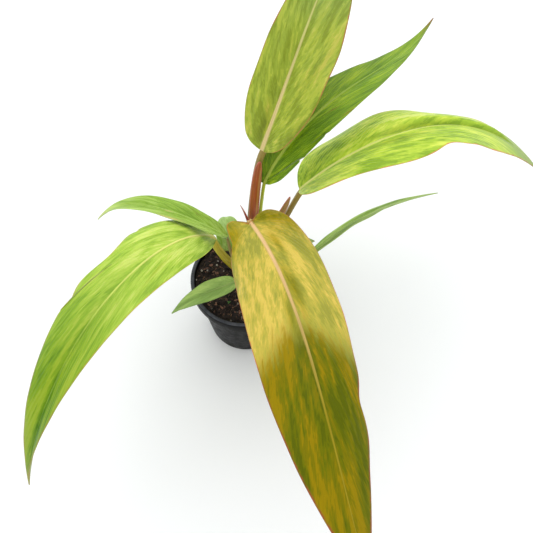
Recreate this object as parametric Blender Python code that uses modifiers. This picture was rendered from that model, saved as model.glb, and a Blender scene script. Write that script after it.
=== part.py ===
"""Potted orange marmalade philodendron: a young plant of ten leaves in a 10 cm nursery pot.

Metres, +Z up. The origin is the centre of the pot's base, on the surface that it stands on.
The pot is a turned shell with drain holes, filled with potting mix. A short crown stands in a
plain hole in the mix, and each leaf is a stalk and a blade. A blade is a thin sheet round a
curved midrib, folded along the rib and curled towards its margins.
"""
import math

import bmesh
import bpy
import numpy as np
from mathutils import Matrix, Vector, noise

# Driving dimensions of the pot
RIM_RADIUS = 0.050
POT_HEIGHT = 0.090
POT_WALL = 0.0012
RIM_SKIRT_DEPTH = 0.0095
RIM_SKIRT_GAP = 0.0012
SHOULDER_HEIGHT = 0.068
SHOULDER_STEP = 0.0014
TOP_INNER_RADIUS = 0.0462
BASE_RADIUS = 0.0378
FOOT_RADII = (0.0310, 0.0350)
PAD_RADIUS = 0.0130
GUTTER_HEIGHT = 0.0030
DRAIN_HOLES = 8
DRAIN_HOLE_RADIUS = 0.0035
DRAIN_CIRCLE_RADIUS = 0.0220
TURNED_STEPS = 40

# Potting mix and crown
GAP = 0.0003
SOIL_TOP = 0.0850
SOIL_DISH = 0.0045
SOIL_LUMPS = 0.0022
SOIL_LUMP_SIZE = 0.0090
SOIL_RINGS = 7
CROWN_PLACE = (0.0050, 0.0040)
CROWN_RADIUS = 0.0080
CROWN_FOOT = 0.0450
CROWN_TOP = 0.1140
CROWN_TOP_MARGIN = 0.0007

# Blades
BLADE_THICKNESS = 0.00075
RIB_THICKNESS = 0.0024
RIB_HALF_WIDTH = 0.0020
JUNCTION_SPREAD = 0.0005
TIP_HALF_WIDTH = 0.0003
RIB_FADE_START = 0.75
VEIN_ROOT_POWER = 2.1
VEIN_BEND_POWER = 1.5
RIPPLE_POWER = 2.5
LEFT_RIPPLE_LAG = 2.2
SPINE_STEPS = 80
OUTLINE_STEPS = 10

# Blade outlines as shares of the length and of the half width, from the stalk to the tip
CORDATE = ((-0.022, 0.30), (-0.020, 0.58), (0.03, 0.84), (0.14, 0.975), (0.30, 1.0),
           (0.48, 0.93), (0.66, 0.74), (0.82, 0.45), (0.92, 0.20))
ROUNDED = ((0.004, 0.22), (0.02, 0.50), (0.06, 0.76), (0.15, 0.955), (0.30, 1.0),
           (0.48, 0.93), (0.66, 0.74), (0.82, 0.45), (0.92, 0.20))
WEDGED = ((0.010, 0.14), (0.035, 0.34), (0.08, 0.62), (0.16, 0.88), (0.30, 1.0),
          (0.48, 0.93), (0.66, 0.74), (0.82, 0.45), (0.92, 0.20))
NARROW = ((0.01, 0.30), (0.05, 0.62), (0.15, 0.88), (0.30, 1.0), (0.46, 0.96),
          (0.62, 0.78), (0.78, 0.50), (0.90, 0.22))

# Each leaf: where its blade starts, its size, and how its midrib runs. pitch and heading are in
# degrees at the base, the middle and the tip of the midrib; heading 0 is +X and 90 is +Y. roll
# tilts the blade about its midrib, and fold lifts both halves, at the base and the tip. curl is
# what a margin lifts further. halves scales the left and right half widths, and right_lobe how far
# the right one reaches behind the base. ripple is the height, count and phase of the margin's waves.
# The stalk leaves the crown at an angle and a height, rising at an elevation, and reach is how far
# it runs straight at each end. It arrives at the blade along the midrib, or in the pitch and heading
# that arrive gives.
LEAVES = {
    "front": dict(
        outline=CORDATE, base=(0.0079, 0.0038, 0.1778), length=0.287, width=0.079,
        pitch=(19, -5, -35), heading=(-63, -76, -71), roll=(-16, 27), fold=(-9, 4), curl=-40,
        halves=(1.0, 1.02), right_lobe=2.7, ripple=(0.0012, 5, 40), rows=22,
        stalk=dict(angle=285, height=0.098, rise=80, reach=(0.030, 0.014), arrive=(70, -70),
                   radii=(0.0026, 0.0020))),
    "top": dict(
        outline=ROUNDED, base=(0.0175, 0.0393, 0.2235), length=0.192, width=0.062,
        pitch=(45, 26, 33), heading=(62, 67, 60), roll=(27, -12), fold=(17, 2), curl=-12,
        halves=(0.92, 1.12), ripple=(0.0008, 4, 0), rows=20,
        stalk=dict(angle=87, height=CROWN_TOP, rise=74, reach=(0.030, 0.016), arrive=(48, 33),
                   radii=(0.0030, 0.0027))),
    "rear": dict(
        outline=NARROW, base=(0.0190, 0.0312, 0.1925), length=0.243, width=0.0380,
        pitch=(54, -9, 16), heading=(49, 46, 55), roll=(-30, 33), fold=(12, 4), curl=0,
        halves=(0.95, 1.0), ripple=(0.0006, 5, 0), rows=20,
        stalk=dict(angle=65, height=0.094, rise=68, reach=(0.045, 0.022), arrive=(69, 63),
                   radii=(0.0016, 0.00135))),
    "right": dict(
        outline=ROUNDED, base=(0.0489, 0.0394, 0.1725), length=0.275, width=0.0776,
        pitch=(42, -15, -45), heading=(21, 18, -16), roll=(29, 11), fold=(23, -4), curl=-29,
        halves=(1.02, 1.01), ripple=(0.0030, 2.5, -18), rows=22,
        stalk=dict(angle=29, height=0.101, rise=41, reach=(0.016, 0.007), arrive=(47, 20),
                   radii=(0.0028, 0.0026))),
    "side": dict(
        outline=NARROW, base=(0.0519, 0.0041, 0.1100), length=0.163, width=0.030,
        pitch=(25, -7, -7), heading=(40, 32, 17), roll=(58, 42), fold=(0, 15), curl=-6,
        halves=(0.70, 1.10), ripple=(0.0005, 4, 0), rows=16,
        stalk=dict(angle=340, height=0.090, rise=25, reach=(0.012, 0.015), radii=(0.0018, 0.0015))),
    "left": dict(
        outline=WEDGED, base=(-0.0243, 0.0192, 0.1283), length=0.3094, width=0.0664,
        pitch=(63, -12, -62), heading=(224, 237, 240), roll=(16, -38), fold=(-3, 31), curl=-36,
        halves=(0.73, 1.02), ripple=(0.0010, 4, 90), rows=22,
        stalk=dict(angle=160, height=0.0905, rise=21, reach=(0.019, 0.011), arrive=(79, 196),
                   radii=(0.0043, 0.0038))),
    "upper_left": dict(
        outline=NARROW, base=(-0.0135, 0.0144, 0.1380), length=0.148, width=0.0236,
        pitch=(43, -12, -55), heading=(172, 160, 181), roll=(-18, -10), fold=(20, 12), curl=0,
        halves=(1.0, 1.0), ripple=(0.0004, 4, 0), rows=16,
        stalk=dict(angle=171, height=0.098, rise=47, reach=(0.017, 0.009), arrive=(48, 232),
                   radii=(0.0016, 0.0015))),
    "inner_left": dict(
        outline=NARROW, base=(-0.0115, 0.0235, 0.0990), length=0.046, width=0.024,
        pitch=(58, 8, -75), heading=(104, 100, 96), roll=(0, 0), fold=(12, 4), curl=-10,
        halves=(1.0, 1.0), ripple=(0.0003, 3, 0), rows=12,
        stalk=dict(angle=118, height=0.086, rise=22, reach=(0.010, 0.008), radii=(0.0016, 0.0014))),
    "low_front": dict(
        outline=NARROW, base=(-0.0061, -0.0144, 0.1093), length=0.065, width=0.0198,
        pitch=(8, -8, -29), heading=(209, 203, 212), roll=(5, -8), fold=(14, 10), curl=0,
        halves=(1.0, 1.0), ripple=(0.0003, 3, 0), rows=12,
        stalk=dict(angle=238, height=0.088, rise=60, reach=(0.008, 0.006), radii=(0.0016, 0.0013))),
    "inner_right": dict(
        outline=NARROW, base=(0.0290, 0.0155, 0.1085), length=0.042, width=0.018,
        pitch=(22, -4, -38), heading=(24, 22, 18), roll=(0, 0), fold=(16, 8), curl=0,
        halves=(1.0, 1.0), ripple=(0.0003, 3, 0), rows=12,
        stalk=dict(angle=5, height=0.0860, rise=45, reach=(0.008, 0.008), radii=(0.0015, 0.0013))),
}
HALF_COLUMNS = {CORDATE: 4, ROUNDED: 4, WEDGED: 4, NARROW: 3}
TUBE_STEPS = 9
STALK_END_GAP = 0.0004
STALK_TAPER_SHARE = 0.67

# Sheaths: lens-shaped scales beside the two youngest stalks, and a dry pointed one
SHEATHS = {
    "sheath_top": dict(
        path=((0.0046, 0.0014, 0.1146), (0.0107, 0.0138, 0.1467), (0.0100, 0.0232, 0.1923),
              (0.0159, 0.0318, 0.2185)),
        half_width=0.0042, half_depth=0.0020, facing=(-0.05, -0.95, 0.25)),
    "sheath_right": dict(
        path=((0.0111, 0.0101, 0.1060), (0.0146, 0.0189, 0.1219), (0.0307, 0.0233, 0.1441),
              (0.0411, 0.0343, 0.1694)),
        half_width=0.0034, half_depth=0.0011, facing=(0.25, -0.60, 0.75)),
    "sheath_dry": dict(
        path=((0.0035, -0.0020, 0.1145), (0.0150, 0.0009, 0.1380), (0.0070, 0.0084, 0.1760),
              (-0.0008, 0.0188, 0.1800)),
        half_width=0.0014, half_depth=0.0007, facing=(0.0, -0.90, 0.40)),
}
SHEATH_SIDES = 10
SHEATH_RINGS = 12

PLANT_COLLECTION = "potted_philodendron"
CUTTER_COLLECTION = "cutters"
MATERIALS = {
    "black_plastic": ((0.016, 0.016, 0.018), 0.42),
    "potting_mix": ((0.060, 0.040, 0.028), 0.95),
    "crown_green": ((0.20, 0.24, 0.05), 0.55),
    "stalk_olive": ((0.27, 0.29, 0.05), 0.45),
    "sheath_red": ((0.27, 0.085, 0.035), 0.50),
    "leaf_orange": ((0.48, 0.38, 0.04), 0.38),
    "leaf_lime": ((0.36, 0.50, 0.05), 0.40),
    "leaf_green": ((0.10, 0.26, 0.03), 0.42),
}
LEAF_MATERIALS = {"front": "leaf_orange", "top": "leaf_lime", "right": "leaf_lime", "left": "leaf_lime"}


def clear_scene():
    for item in list(bpy.data.objects):
        bpy.data.objects.remove(item, do_unlink=True)


def new_collection(name):
    collection = bpy.data.collections.new(name)
    bpy.context.scene.collection.children.link(collection)
    return collection


def principled(name):
    """Material with one Principled BSDF of the named colour and roughness."""
    colour, roughness = MATERIALS[name]
    material = bpy.data.materials.new(name)
    material.use_nodes = True
    shader = material.node_tree.nodes["Principled BSDF"]
    shader.inputs["Base Color"].default_value = (*colour, 1.0)
    shader.inputs["Roughness"].default_value = roughness
    shader.inputs["Metallic"].default_value = 0.0
    return material


def add_object(name, data, collection, material_name=None):
    item = bpy.data.objects.new(name, data)
    collection.objects.link(item)
    if material_name:
        item.data.materials.append(principled(material_name))
    return item


def mesh_from(bm, name):
    mesh = bpy.data.meshes.new(name)
    bm.to_mesh(mesh)
    bm.free()
    return mesh


def turned(name, profile, collection, material_name):
    """Object turned about Z from a profile that runs down its outer side and ends on the axis."""
    mesh = bpy.data.meshes.new(name)
    edges = [(i, i + 1) for i in range(len(profile) - 1)]
    mesh.from_pydata([(radius, 0.0, height) for radius, height in profile], edges, [])
    item = add_object(name, mesh, collection, material_name)
    screw = item.modifiers.new("turn", "SCREW")
    screw.steps = TURNED_STEPS
    screw.render_steps = TURNED_STEPS
    screw.use_merge_vertices = True
    screw.merge_threshold = 0.00001
    return item


def freeze_modifiers(item):
    """Replace an object's mesh with the one its modifiers make."""
    bpy.context.view_layer.update()
    evaluated = item.evaluated_get(bpy.context.evaluated_depsgraph_get())
    item.data = bpy.data.meshes.new_from_object(evaluated)
    item.modifiers.clear()


def inner_radius(height):
    """Radius of the pot's inner wall at a height, below and above its stacking shoulder."""
    low = BASE_RADIUS - POT_WALL
    below = TOP_INNER_RADIUS - 2.0 * SHOULDER_STEP
    above = TOP_INNER_RADIUS - 0.5 * SHOULDER_STEP
    if height <= SHOULDER_HEIGHT:
        return low + (below - low) * height / SHOULDER_HEIGHT
    share = (height - SHOULDER_HEIGHT) / (POT_HEIGHT - SHOULDER_HEIGHT)
    return above + (TOP_INNER_RADIUS - above) * share


def make_pot(collection, cutters):
    """Tapered shell with a folded rim, a stacking shoulder, a foot ring and drain holes."""
    floor = GUTTER_HEIGHT + POT_WALL
    lip = 0.0010
    shoulder_top = SHOULDER_HEIGHT + SHOULDER_STEP
    skirt_bottom = POT_HEIGHT - RIM_SKIRT_DEPTH
    skirt_inner = RIM_RADIUS - POT_WALL
    fold_height = POT_HEIGHT - 2.0 * POT_WALL
    wall_top = skirt_inner - RIM_SKIRT_GAP
    foot_inner, foot_outer = FOOT_RADII
    inside = [
        (0.0, floor),
        (inner_radius(floor) - lip, floor),
        (inner_radius(floor + lip), floor + lip),
        (inner_radius(SHOULDER_HEIGHT), SHOULDER_HEIGHT),
        (inner_radius(shoulder_top), shoulder_top),
        (TOP_INNER_RADIUS, POT_HEIGHT - lip),
        (TOP_INNER_RADIUS + lip, POT_HEIGHT),
    ]
    outside = [
        (RIM_RADIUS - lip, POT_HEIGHT),
        (RIM_RADIUS, POT_HEIGHT - lip),
        (RIM_RADIUS, skirt_bottom),
        (skirt_inner, skirt_bottom),
        (skirt_inner, fold_height),
        (wall_top, fold_height),
        (inner_radius(shoulder_top) + POT_WALL, shoulder_top),
        (inner_radius(SHOULDER_HEIGHT) + POT_WALL, SHOULDER_HEIGHT),
        (BASE_RADIUS, 2.0 * lip),
        (foot_outer, 0.0),
        (foot_inner, 0.0),
        (foot_inner - lip, GUTTER_HEIGHT),
        (PAD_RADIUS + lip, GUTTER_HEIGHT),
        (PAD_RADIUS, 0.0),
        (0.0, 0.0),
    ]
    pot = turned("pot", inside + outside, collection, "black_plastic")
    bm = bmesh.new()
    for i in range(DRAIN_HOLES):
        turn = Matrix.Rotation(2.0 * math.pi * (i + 0.5) / DRAIN_HOLES, 4, "Z")
        shift = Matrix.Translation((DRAIN_CIRCLE_RADIUS, 0.0, floor / 2.0))
        bmesh.ops.create_cone(bm, cap_ends=True, segments=16, radius1=DRAIN_HOLE_RADIUS,
                              radius2=DRAIN_HOLE_RADIUS, depth=4.0 * floor, matrix=turn @ shift)
    drill = add_object("drain_drill", mesh_from(bm, "drain_drill"), cutters)
    cut(pot, drill)
    return pot


def cut(item, cutter):
    cutter.hide_render = True
    cutter.display_type = "WIRE"
    boolean = item.modifiers.new("cut", "BOOLEAN")
    boolean.object = cutter
    boolean.solver = "EXACT"


def make_soil(collection, cutters):
    """Potting mix inside the pot, with a lumpy hollowed top and a plain hole for the crown."""
    bottom = GUTTER_HEIGHT + POT_WALL + GAP
    lip = 0.0012
    edge = inner_radius(SOIL_TOP) - GAP
    shares = [ring / SOIL_RINGS for ring in range(SOIL_RINGS)]
    profile = [(edge * share, SOIL_TOP - SOIL_DISH * (1.0 - share ** 2)) for share in shares]
    profile += [
        (edge, SOIL_TOP),
        (inner_radius(SHOULDER_HEIGHT + SHOULDER_STEP) - GAP, SHOULDER_HEIGHT + SHOULDER_STEP),
        (inner_radius(SHOULDER_HEIGHT) - GAP, SHOULDER_HEIGHT),
        (inner_radius(bottom + lip) - GAP, bottom + lip),
        (inner_radius(bottom) - lip - GAP, bottom),
        (0.0, bottom),
    ]
    soil = turned("soil", profile, collection, "potting_mix")
    freeze_modifiers(soil)
    rim_clearance = edge - 0.001
    for vertex in soil.data.vertices:
        place = vertex.co
        on_top = place.z > SOIL_TOP - SOIL_DISH - lip
        if on_top and math.hypot(place.x, place.y) < rim_clearance:
            lump = noise.noise(Vector((place.x, place.y, 0.0)) / SOIL_LUMP_SIZE)
            place.z += SOIL_LUMPS * lump
    depth = CROWN_TOP - CROWN_FOOT
    bm = bmesh.new()
    bmesh.ops.create_cone(bm, cap_ends=True, segments=24, radius1=CROWN_RADIUS + 2.0 * GAP,
                          radius2=CROWN_RADIUS + 2.0 * GAP, depth=depth,
                          matrix=Matrix.Translation((*CROWN_PLACE, CROWN_FOOT - GAP + depth / 2.0)))
    drill = add_object("crown_drill", mesh_from(bm, "crown_drill"), cutters)
    cut(soil, drill)
    return soil


def make_crown(collection):
    """Short stout stem that stands in the mix and carries every stalk."""
    bevel = 0.0006
    profile = [
        (0.0, CROWN_TOP),
        (CROWN_RADIUS - bevel, CROWN_TOP),
        (CROWN_RADIUS, CROWN_TOP - bevel),
        (CROWN_RADIUS, CROWN_FOOT + 4.0 * bevel),
        (CROWN_RADIUS - 3.0 * bevel, CROWN_FOOT),
        (0.0, CROWN_FOOT),
    ]
    crown = turned("crown", profile, collection, "crown_green")
    crown.location = (*CROWN_PLACE, 0.0)
    return crown


def through(values, share):
    """Value at a share of the way along, on the parabola through values at 0, 1/2 and 1."""
    first, middle, last = values
    return (first * (1 - share) * (1 - 2 * share) + 4 * middle * share * (1 - share)
            + last * share * (2 * share - 1))


def direction(pitch, heading):
    """Unit vector at a pitch above the level and a heading from +X, both in degrees."""
    level = math.cos(math.radians(pitch))
    turn = math.radians(heading)
    return Vector((level * math.cos(turn), level * math.sin(turn), math.sin(math.radians(pitch))))


def leaf_frame(leaf, share):
    """Tangent, right side and upper side of the midrib at a share of its length."""
    heading = through(leaf["heading"], share)
    tangent = direction(through(leaf["pitch"], share), heading)
    side = direction(0.0, heading - 90.0)
    roll = math.radians(leaf["roll"][0] + (leaf["roll"][1] - leaf["roll"][0]) * share)
    up = side.cross(tangent)
    return (tangent, side * math.cos(roll) + up * math.sin(roll),
            up * math.cos(roll) - side * math.sin(roll))


def midrib(leaf):
    """Points along the midrib, from the base, by small straight steps."""
    step = leaf["length"] / SPINE_STEPS
    points = [Vector(leaf["base"])]
    for i in range(SPINE_STEPS):
        before = leaf_frame(leaf, i / SPINE_STEPS)[0]
        after = leaf_frame(leaf, (i + 1) / SPINE_STEPS)[0]
        points.append(points[-1] + (before + after) * (step / 2.0))
    return points


def on_blade(leaf, points, along, across):
    """Place in space of a point of the flat blade, across being negative on the left half."""
    share = min(max(along / leaf["length"], 0.0), 1.0)
    index = min(int(share * SPINE_STEPS), SPINE_STEPS - 1)
    centre = points[index].lerp(points[index + 1], share * SPINE_STEPS - index)
    tangent, side, up = leaf_frame(leaf, share)
    centre = centre + tangent * (along - share * leaf["length"])
    reach = abs(across)
    edge_share = reach / (leaf["width"] / 2.0)
    fold = leaf["fold"][0] + (leaf["fold"][1] - leaf["fold"][0]) * share
    tilt = math.radians(fold + leaf["curl"] * edge_share / 2.0)
    height, waves, phase = leaf["ripple"]
    lag = LEFT_RIPPLE_LAG if across < 0 else 0.0
    wave = math.sin(2.0 * math.pi * waves * share + math.radians(phase) + lag)
    lift = reach * math.sin(tilt) + height * edge_share ** RIPPLE_POWER * wave
    return centre + side * math.copysign(reach * math.cos(tilt), across) + up * lift


def margin(leaf):
    """Evenly spaced points (along, across) on the outline of one half, from stalk to tip."""
    half = leaf["width"] / 2.0
    junction = leaf["stalk"]["radii"][1] + JUNCTION_SPREAD
    ends = ((0.0, junction / half), (1.0, TIP_HALF_WIDTH / half))
    corners = np.array([ends[0], *leaf["outline"], ends[1]]) * (leaf["length"], half)
    padded = np.vstack([2 * corners[0] - corners[1], corners, 2 * corners[-1] - corners[-2]])
    curve = []
    for a, b, c, d in zip(padded, padded[1:], padded[2:], padded[3:]):
        for t in np.linspace(0.0, 1.0, OUTLINE_STEPS, endpoint=False):
            curve.append(0.5 * (2 * b + (c - a) * t + (2 * a - 5 * b + 4 * c - d) * t ** 2
                                + (3 * b - a - 3 * c + d) * t ** 3))
    curve = np.array(curve + [corners[-1]])
    lengths = np.concatenate([[0.0], np.cumsum(np.linalg.norm(np.diff(curve, axis=0), axis=1))])
    even = np.linspace(0.0, lengths[-1], leaf["rows"] + 1)
    return np.column_stack([np.interp(even, lengths, curve[:, 0]), np.interp(even, lengths, curve[:, 1])])


def make_blade(name, leaf, collection, material_name):
    """Blade as a grid whose rows follow the side veins, thickened below and most along the rib."""
    rows = leaf["rows"]
    columns = HALF_COLUMNS[leaf["outline"]]
    edge = margin(leaf)
    points = midrib(leaf)
    bm = bmesh.new()
    bmesh.ops.create_grid(bm, x_segments=rows, y_segments=2 * columns, size=0.5)
    bmesh.ops.triangulate(bm, faces=bm.faces[:], quad_method="FIXED")
    bm.verts.index_update()
    rib_weights = {}
    for vertex in bm.verts:
        row = round((vertex.co.x + 0.5) * rows)
        column = round((vertex.co.y + 0.5) * 2 * columns) - columns
        share = row / rows
        edge_along, edge_across = edge[row]
        if edge_along < 0.0 and column < 0:
            edge_along *= leaf.get("right_lobe", 1.0)
        rib = min(0.5, RIB_HALF_WIDTH / edge_across)
        out = rib + (1.0 - rib) * (abs(column) - 1) / (columns - 1) if column else 0.0
        root = leaf["length"] * share ** VEIN_ROOT_POWER
        along = root + (edge_along - root) * out ** VEIN_BEND_POWER
        half = leaf["halves"][1] if column <= 0 else leaf["halves"][0]
        across = math.copysign(edge_across * out * half, -column)
        vertex.co = on_blade(leaf, points, along, across)
        if column == 0:
            rib_weights[vertex.index] = min(1.0, (1.0 - share) / (1.0 - RIB_FADE_START))
    blade = add_object(f"blade_{name}", mesh_from(bm, f"blade_{name}"), collection, material_name)
    group = blade.vertex_groups.new(name="rib")
    for index in range(len(blade.data.vertices)):
        group.add([index], rib_weights.get(index, 0.0), "REPLACE")
    shell = blade.modifiers.new("thickness", "SOLIDIFY")
    shell.thickness = RIB_THICKNESS
    shell.vertex_group = "rib"
    shell.thickness_vertex_group = BLADE_THICKNESS / RIB_THICKNESS
    shell.offset = -1.0
    blade.data.shade_smooth()
    return blade


def bezier(path, steps):
    """Points along the cubic Bezier curve with four control points."""
    a, b, c, d = (Vector(point) for point in path)
    shares = [i / steps for i in range(steps + 1)]
    return [a * (1 - t) ** 3 + b * 3 * t * (1 - t) ** 2 + c * 3 * t * t * (1 - t) + d * t ** 3
            for t in shares]


def stalk_path(leaf):
    """Bezier control points from the crown's side, or its top, to the blade's base."""
    stalk = leaf["stalk"]
    outward = direction(0.0, stalk["angle"])
    leaving = direction(stalk["rise"], stalk["angle"])
    rise = math.radians(stalk["rise"])
    thick, thin = stalk["radii"]
    if stalk["height"] < CROWN_TOP:
        clearance = CROWN_RADIUS + GAP + thick * math.sin(rise)
        height = stalk["height"]
    else:
        clearance = CROWN_RADIUS - thick - CROWN_TOP_MARGIN
        height = CROWN_TOP + GAP + thick * math.cos(rise)
    start = Vector((*CROWN_PLACE, height)) + outward * clearance
    tangent, _, up = leaf_frame(leaf, 0.0)
    arriving = direction(*stalk["arrive"]) if "arrive" in stalk else tangent
    end_gap = STALK_END_GAP + thin * arriving.cross(tangent).length
    end = Vector(leaf["base"]) - tangent * end_gap - up * (RIB_THICKNESS / 2.0)
    return (start, start + leaving * stalk["reach"][0], end - arriving * stalk["reach"][1], end)


def make_stalk(name, leaf, collection):
    """Round tapering leaf stalk from the crown to the blade's base."""
    curve = bpy.data.curves.new(f"stalk_{name}", "CURVE")
    curve.dimensions = "3D"
    curve.bevel_depth = leaf["stalk"]["radii"][1]
    curve.bevel_resolution = 2
    curve.use_fill_caps = True
    spline = curve.splines.new("POLY")
    spline.points.add(TUBE_STEPS)
    taper = leaf["stalk"]["radii"][0] / leaf["stalk"]["radii"][1]
    for i, place in enumerate(bezier(stalk_path(leaf), TUBE_STEPS)):
        spline.points[i].co = (*place, 1.0)
        share = min(1.0, i / TUBE_STEPS / STALK_TAPER_SHARE)
        spline.points[i].radius = taper + (1.0 - taper) * share
    return add_object(f"stalk_{name}", curve, collection, "stalk_olive")


def make_sheath(name, sheath, collection):
    """Lens-shaped scale: a sphere drawn out along a curve, flattened and facing one way."""
    steps = 4 * SHEATH_RINGS
    points = bezier(sheath["path"], steps)
    facing = Vector(sheath["facing"]).normalized()
    bm = bmesh.new()
    bmesh.ops.create_uvsphere(bm, u_segments=SHEATH_SIDES, v_segments=SHEATH_RINGS, radius=1.0)
    for vertex in bm.verts:
        share = (vertex.co.z + 1.0) / 2.0
        index = min(int(share * steps), steps - 1)
        centre = points[index].lerp(points[index + 1], share * steps - index)
        along = (points[index + 1] - points[index]).normalized()
        across = along.cross(facing).normalized()
        depth = along.cross(across)
        vertex.co = (centre + across * (vertex.co.x * sheath["half_width"])
                     + depth * (vertex.co.y * sheath["half_depth"]))
    item = add_object(name, mesh_from(bm, name), collection, "sheath_red")
    item.data.shade_smooth()
    return item


def main():
    clear_scene()
    collection = new_collection(PLANT_COLLECTION)
    cutters = new_collection(CUTTER_COLLECTION)
    make_pot(collection, cutters)
    make_soil(collection, cutters)
    make_crown(collection)
    for name, leaf in LEAVES.items():
        make_stalk(name, leaf, collection)
        make_blade(name, leaf, collection, LEAF_MATERIALS.get(name, "leaf_green"))
    for name, sheath in SHEATHS.items():
        make_sheath(name, sheath, collection)


main()
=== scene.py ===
import math

import bmesh
import bpy
import numpy as np
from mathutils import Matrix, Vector, noise


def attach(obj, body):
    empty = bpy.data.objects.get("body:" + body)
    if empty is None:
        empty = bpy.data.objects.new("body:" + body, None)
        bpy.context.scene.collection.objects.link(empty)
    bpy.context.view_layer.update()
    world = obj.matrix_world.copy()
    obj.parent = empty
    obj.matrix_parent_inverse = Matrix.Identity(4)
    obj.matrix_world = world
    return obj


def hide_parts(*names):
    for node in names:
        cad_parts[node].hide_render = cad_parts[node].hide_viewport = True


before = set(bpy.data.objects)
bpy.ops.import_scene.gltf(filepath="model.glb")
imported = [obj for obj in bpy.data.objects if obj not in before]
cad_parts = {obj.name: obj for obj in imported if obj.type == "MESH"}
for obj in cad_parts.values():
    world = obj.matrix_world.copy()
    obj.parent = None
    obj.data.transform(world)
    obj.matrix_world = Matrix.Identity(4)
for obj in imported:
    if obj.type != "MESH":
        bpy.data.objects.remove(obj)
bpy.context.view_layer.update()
print("frame loaded:", len(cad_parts), "nodes")


# shared helpers for meshes

def linkObject(name, data):
    item = bpy.data.objects.new(name, data)
    bpy.context.scene.collection.objects.link(item)
    return item


def addPiece(name, vertices, faces, material, node=None, slot=None, smooth=True):
    # one visible piece, riding on the plant; node names the solid that it stands for
    mesh = bpy.data.meshes.new(name)
    mesh.from_pydata([tuple(v) for v in vertices], [], faces)
    mesh.update()
    mesh.materials.append(material)
    if smooth:
        mesh.shade_smooth()
    piece = linkObject(name, mesh)
    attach(piece, "root")
    if node:
        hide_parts(node)
    return piece


def tag(piece, name, values):
    # a value or a vector at each vertex, which the material reads
    values = np.asarray(values, dtype=np.float32)
    kind = "FLOAT_VECTOR" if values.ndim == 2 else "FLOAT"
    layer = piece.data.attributes.new(name, kind, "POINT")
    layer.data.foreach_set("vector" if values.ndim == 2 else "value", values.ravel())


def unit(vectors):
    return vectors / np.maximum(np.linalg.norm(vectors, axis=-1, keepdims=True), 1e-9)


def circle(count):
    # angles once round, in radians
    return np.linspace(0, 2 * math.pi, count, endpoint=False)


def runLengths(points):
    # how far along its path each point is
    return np.concatenate([[0], np.cumsum(np.linalg.norm(np.diff(points, axis=0), axis=1))])


def bezier(path, count):
    a, b, c, d = (np.array(point) for point in path)
    t = np.linspace(0, 1, count)[:, None]
    return a * (1 - t) ** 3 + b * 3 * t * (1 - t) ** 2 + c * 3 * t * t * (1 - t) + d * t ** 3


def gridFaces(rows, columns, offset=0, wrap=False, flip=False):
    # quads between the rows of a grid of vertices; wrap joins the last column to the first
    faces = []
    for i in range(rows - 1):
        for j in range(columns if wrap else columns - 1):
            k = (j + 1) % columns
            quad = (i * columns + j, i * columns + k, (i + 1) * columns + k, (i + 1) * columns + j)
            faces.append(tuple(offset + v for v in (reversed(quad) if flip else quad)))
    return faces


def loft(rings, tips=None):
    # closed skin over rings of points, with a fan at each end to its tip or to the end ring's middle
    rows, columns, _ = rings.shape
    tips = tips or (rings[0].mean(axis=0), rings[-1].mean(axis=0))
    faces = gridFaces(rows, columns, wrap=True)
    first, last = rows * columns, rows * columns + 1
    for j in range(columns):
        k = (j + 1) % columns
        faces.append((first, k, j))
        faces.append((last, (rows - 1) * columns + j, (rows - 1) * columns + k))
    return np.vstack([rings.reshape(-1, 3), *tips]), faces


def tube(centres, side, up, radii, section):
    # rings along a path; section is their outline, as shares of the radius to the side and up
    return centres[:, None, :] + radii[:, None, None] * (
        side[:, None, :] * section[None, :, :1] + up[:, None, :] * section[None, :, 1:])


def roundSection(around):
    return np.stack([np.cos(around), np.sin(around)], -1)


def levelRings(radii, heights, around, x=0.0, y=0.0):
    # level rings of points about an upright axis at x, y
    radii, heights, around = np.broadcast_arrays(radii, heights, around)
    return np.stack([x + radii * np.cos(around), y + radii * np.sin(around), heights], -1)


def joined(blocks):
    # one mesh made of several
    vertices, faces, start = [], [], 0
    for points, skin in blocks:
        vertices.append(points)
        faces += [[start + index for index in face] for face in skin]
        start += len(points)
    return np.vstack(vertices), faces


def sweepFrames(centres, hint):
    # direction, side and upper direction at each point of a path, upper kept near the hint
    along = unit(np.gradient(centres, axis=0))
    side = unit(np.cross(along, np.broadcast_to(np.array(hint, dtype=float), along.shape)))
    return along, side, np.cross(side, along)


def withTips(values):
    # a loft's values, and those of its two tips
    return np.concatenate([values, values[:1], values[-1:]])


def tagSweep(piece, along, around, share):
    # length along, place around and share of the length at each vertex of a loft
    around = np.broadcast_to(around, (len(along), np.shape(around)[-1]))
    count = around.shape[1]
    sweep = np.stack([np.repeat(along, count), around.ravel(), np.repeat(share, count)], -1)
    tag(piece, "sweep", withTips(sweep))


def ripples(seed, u, v, size, count=5):
    # smooth random relief between -1 and 1 over a flat place, from a few crossing waves
    rng = np.random.default_rng(seed)
    total = 0.0
    for _ in range(count):
        angle = rng.uniform(0, 2 * math.pi)
        length = size * rng.uniform(0.7, 1.6)
        phase = rng.uniform(0, 2 * math.pi)
        run = u * math.cos(angle) + v * math.sin(angle)
        total = total + np.sin(2 * math.pi * run / length + phase)
    return total / count


def hill(value, centre, halfWidth):
    # smooth hill of height 1
    return np.exp(-((value - centre) / halfWidth) ** 2)


# shared helpers for materials

def shade(red, green, blue):
    # colour picker numbers from 0 to 255 to the light values that the shader wants
    def linear(value):
        value /= 255
        return value / 12.92 if value <= 0.04045 else ((value + 0.055) / 1.055) ** 2.4
    return (linear(red), linear(green), linear(blue), 1.0)


def newMaterial(name, roughness=0.5, **settings):
    material = bpy.data.materials.new(name)
    material.use_nodes = True
    tree = material.node_tree
    shader = tree.nodes["Principled BSDF"]
    shader.inputs["Roughness"].default_value = roughness
    for socket, value in settings.items():
        shader.inputs[socket].default_value = value
    return material, tree, shader


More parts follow.
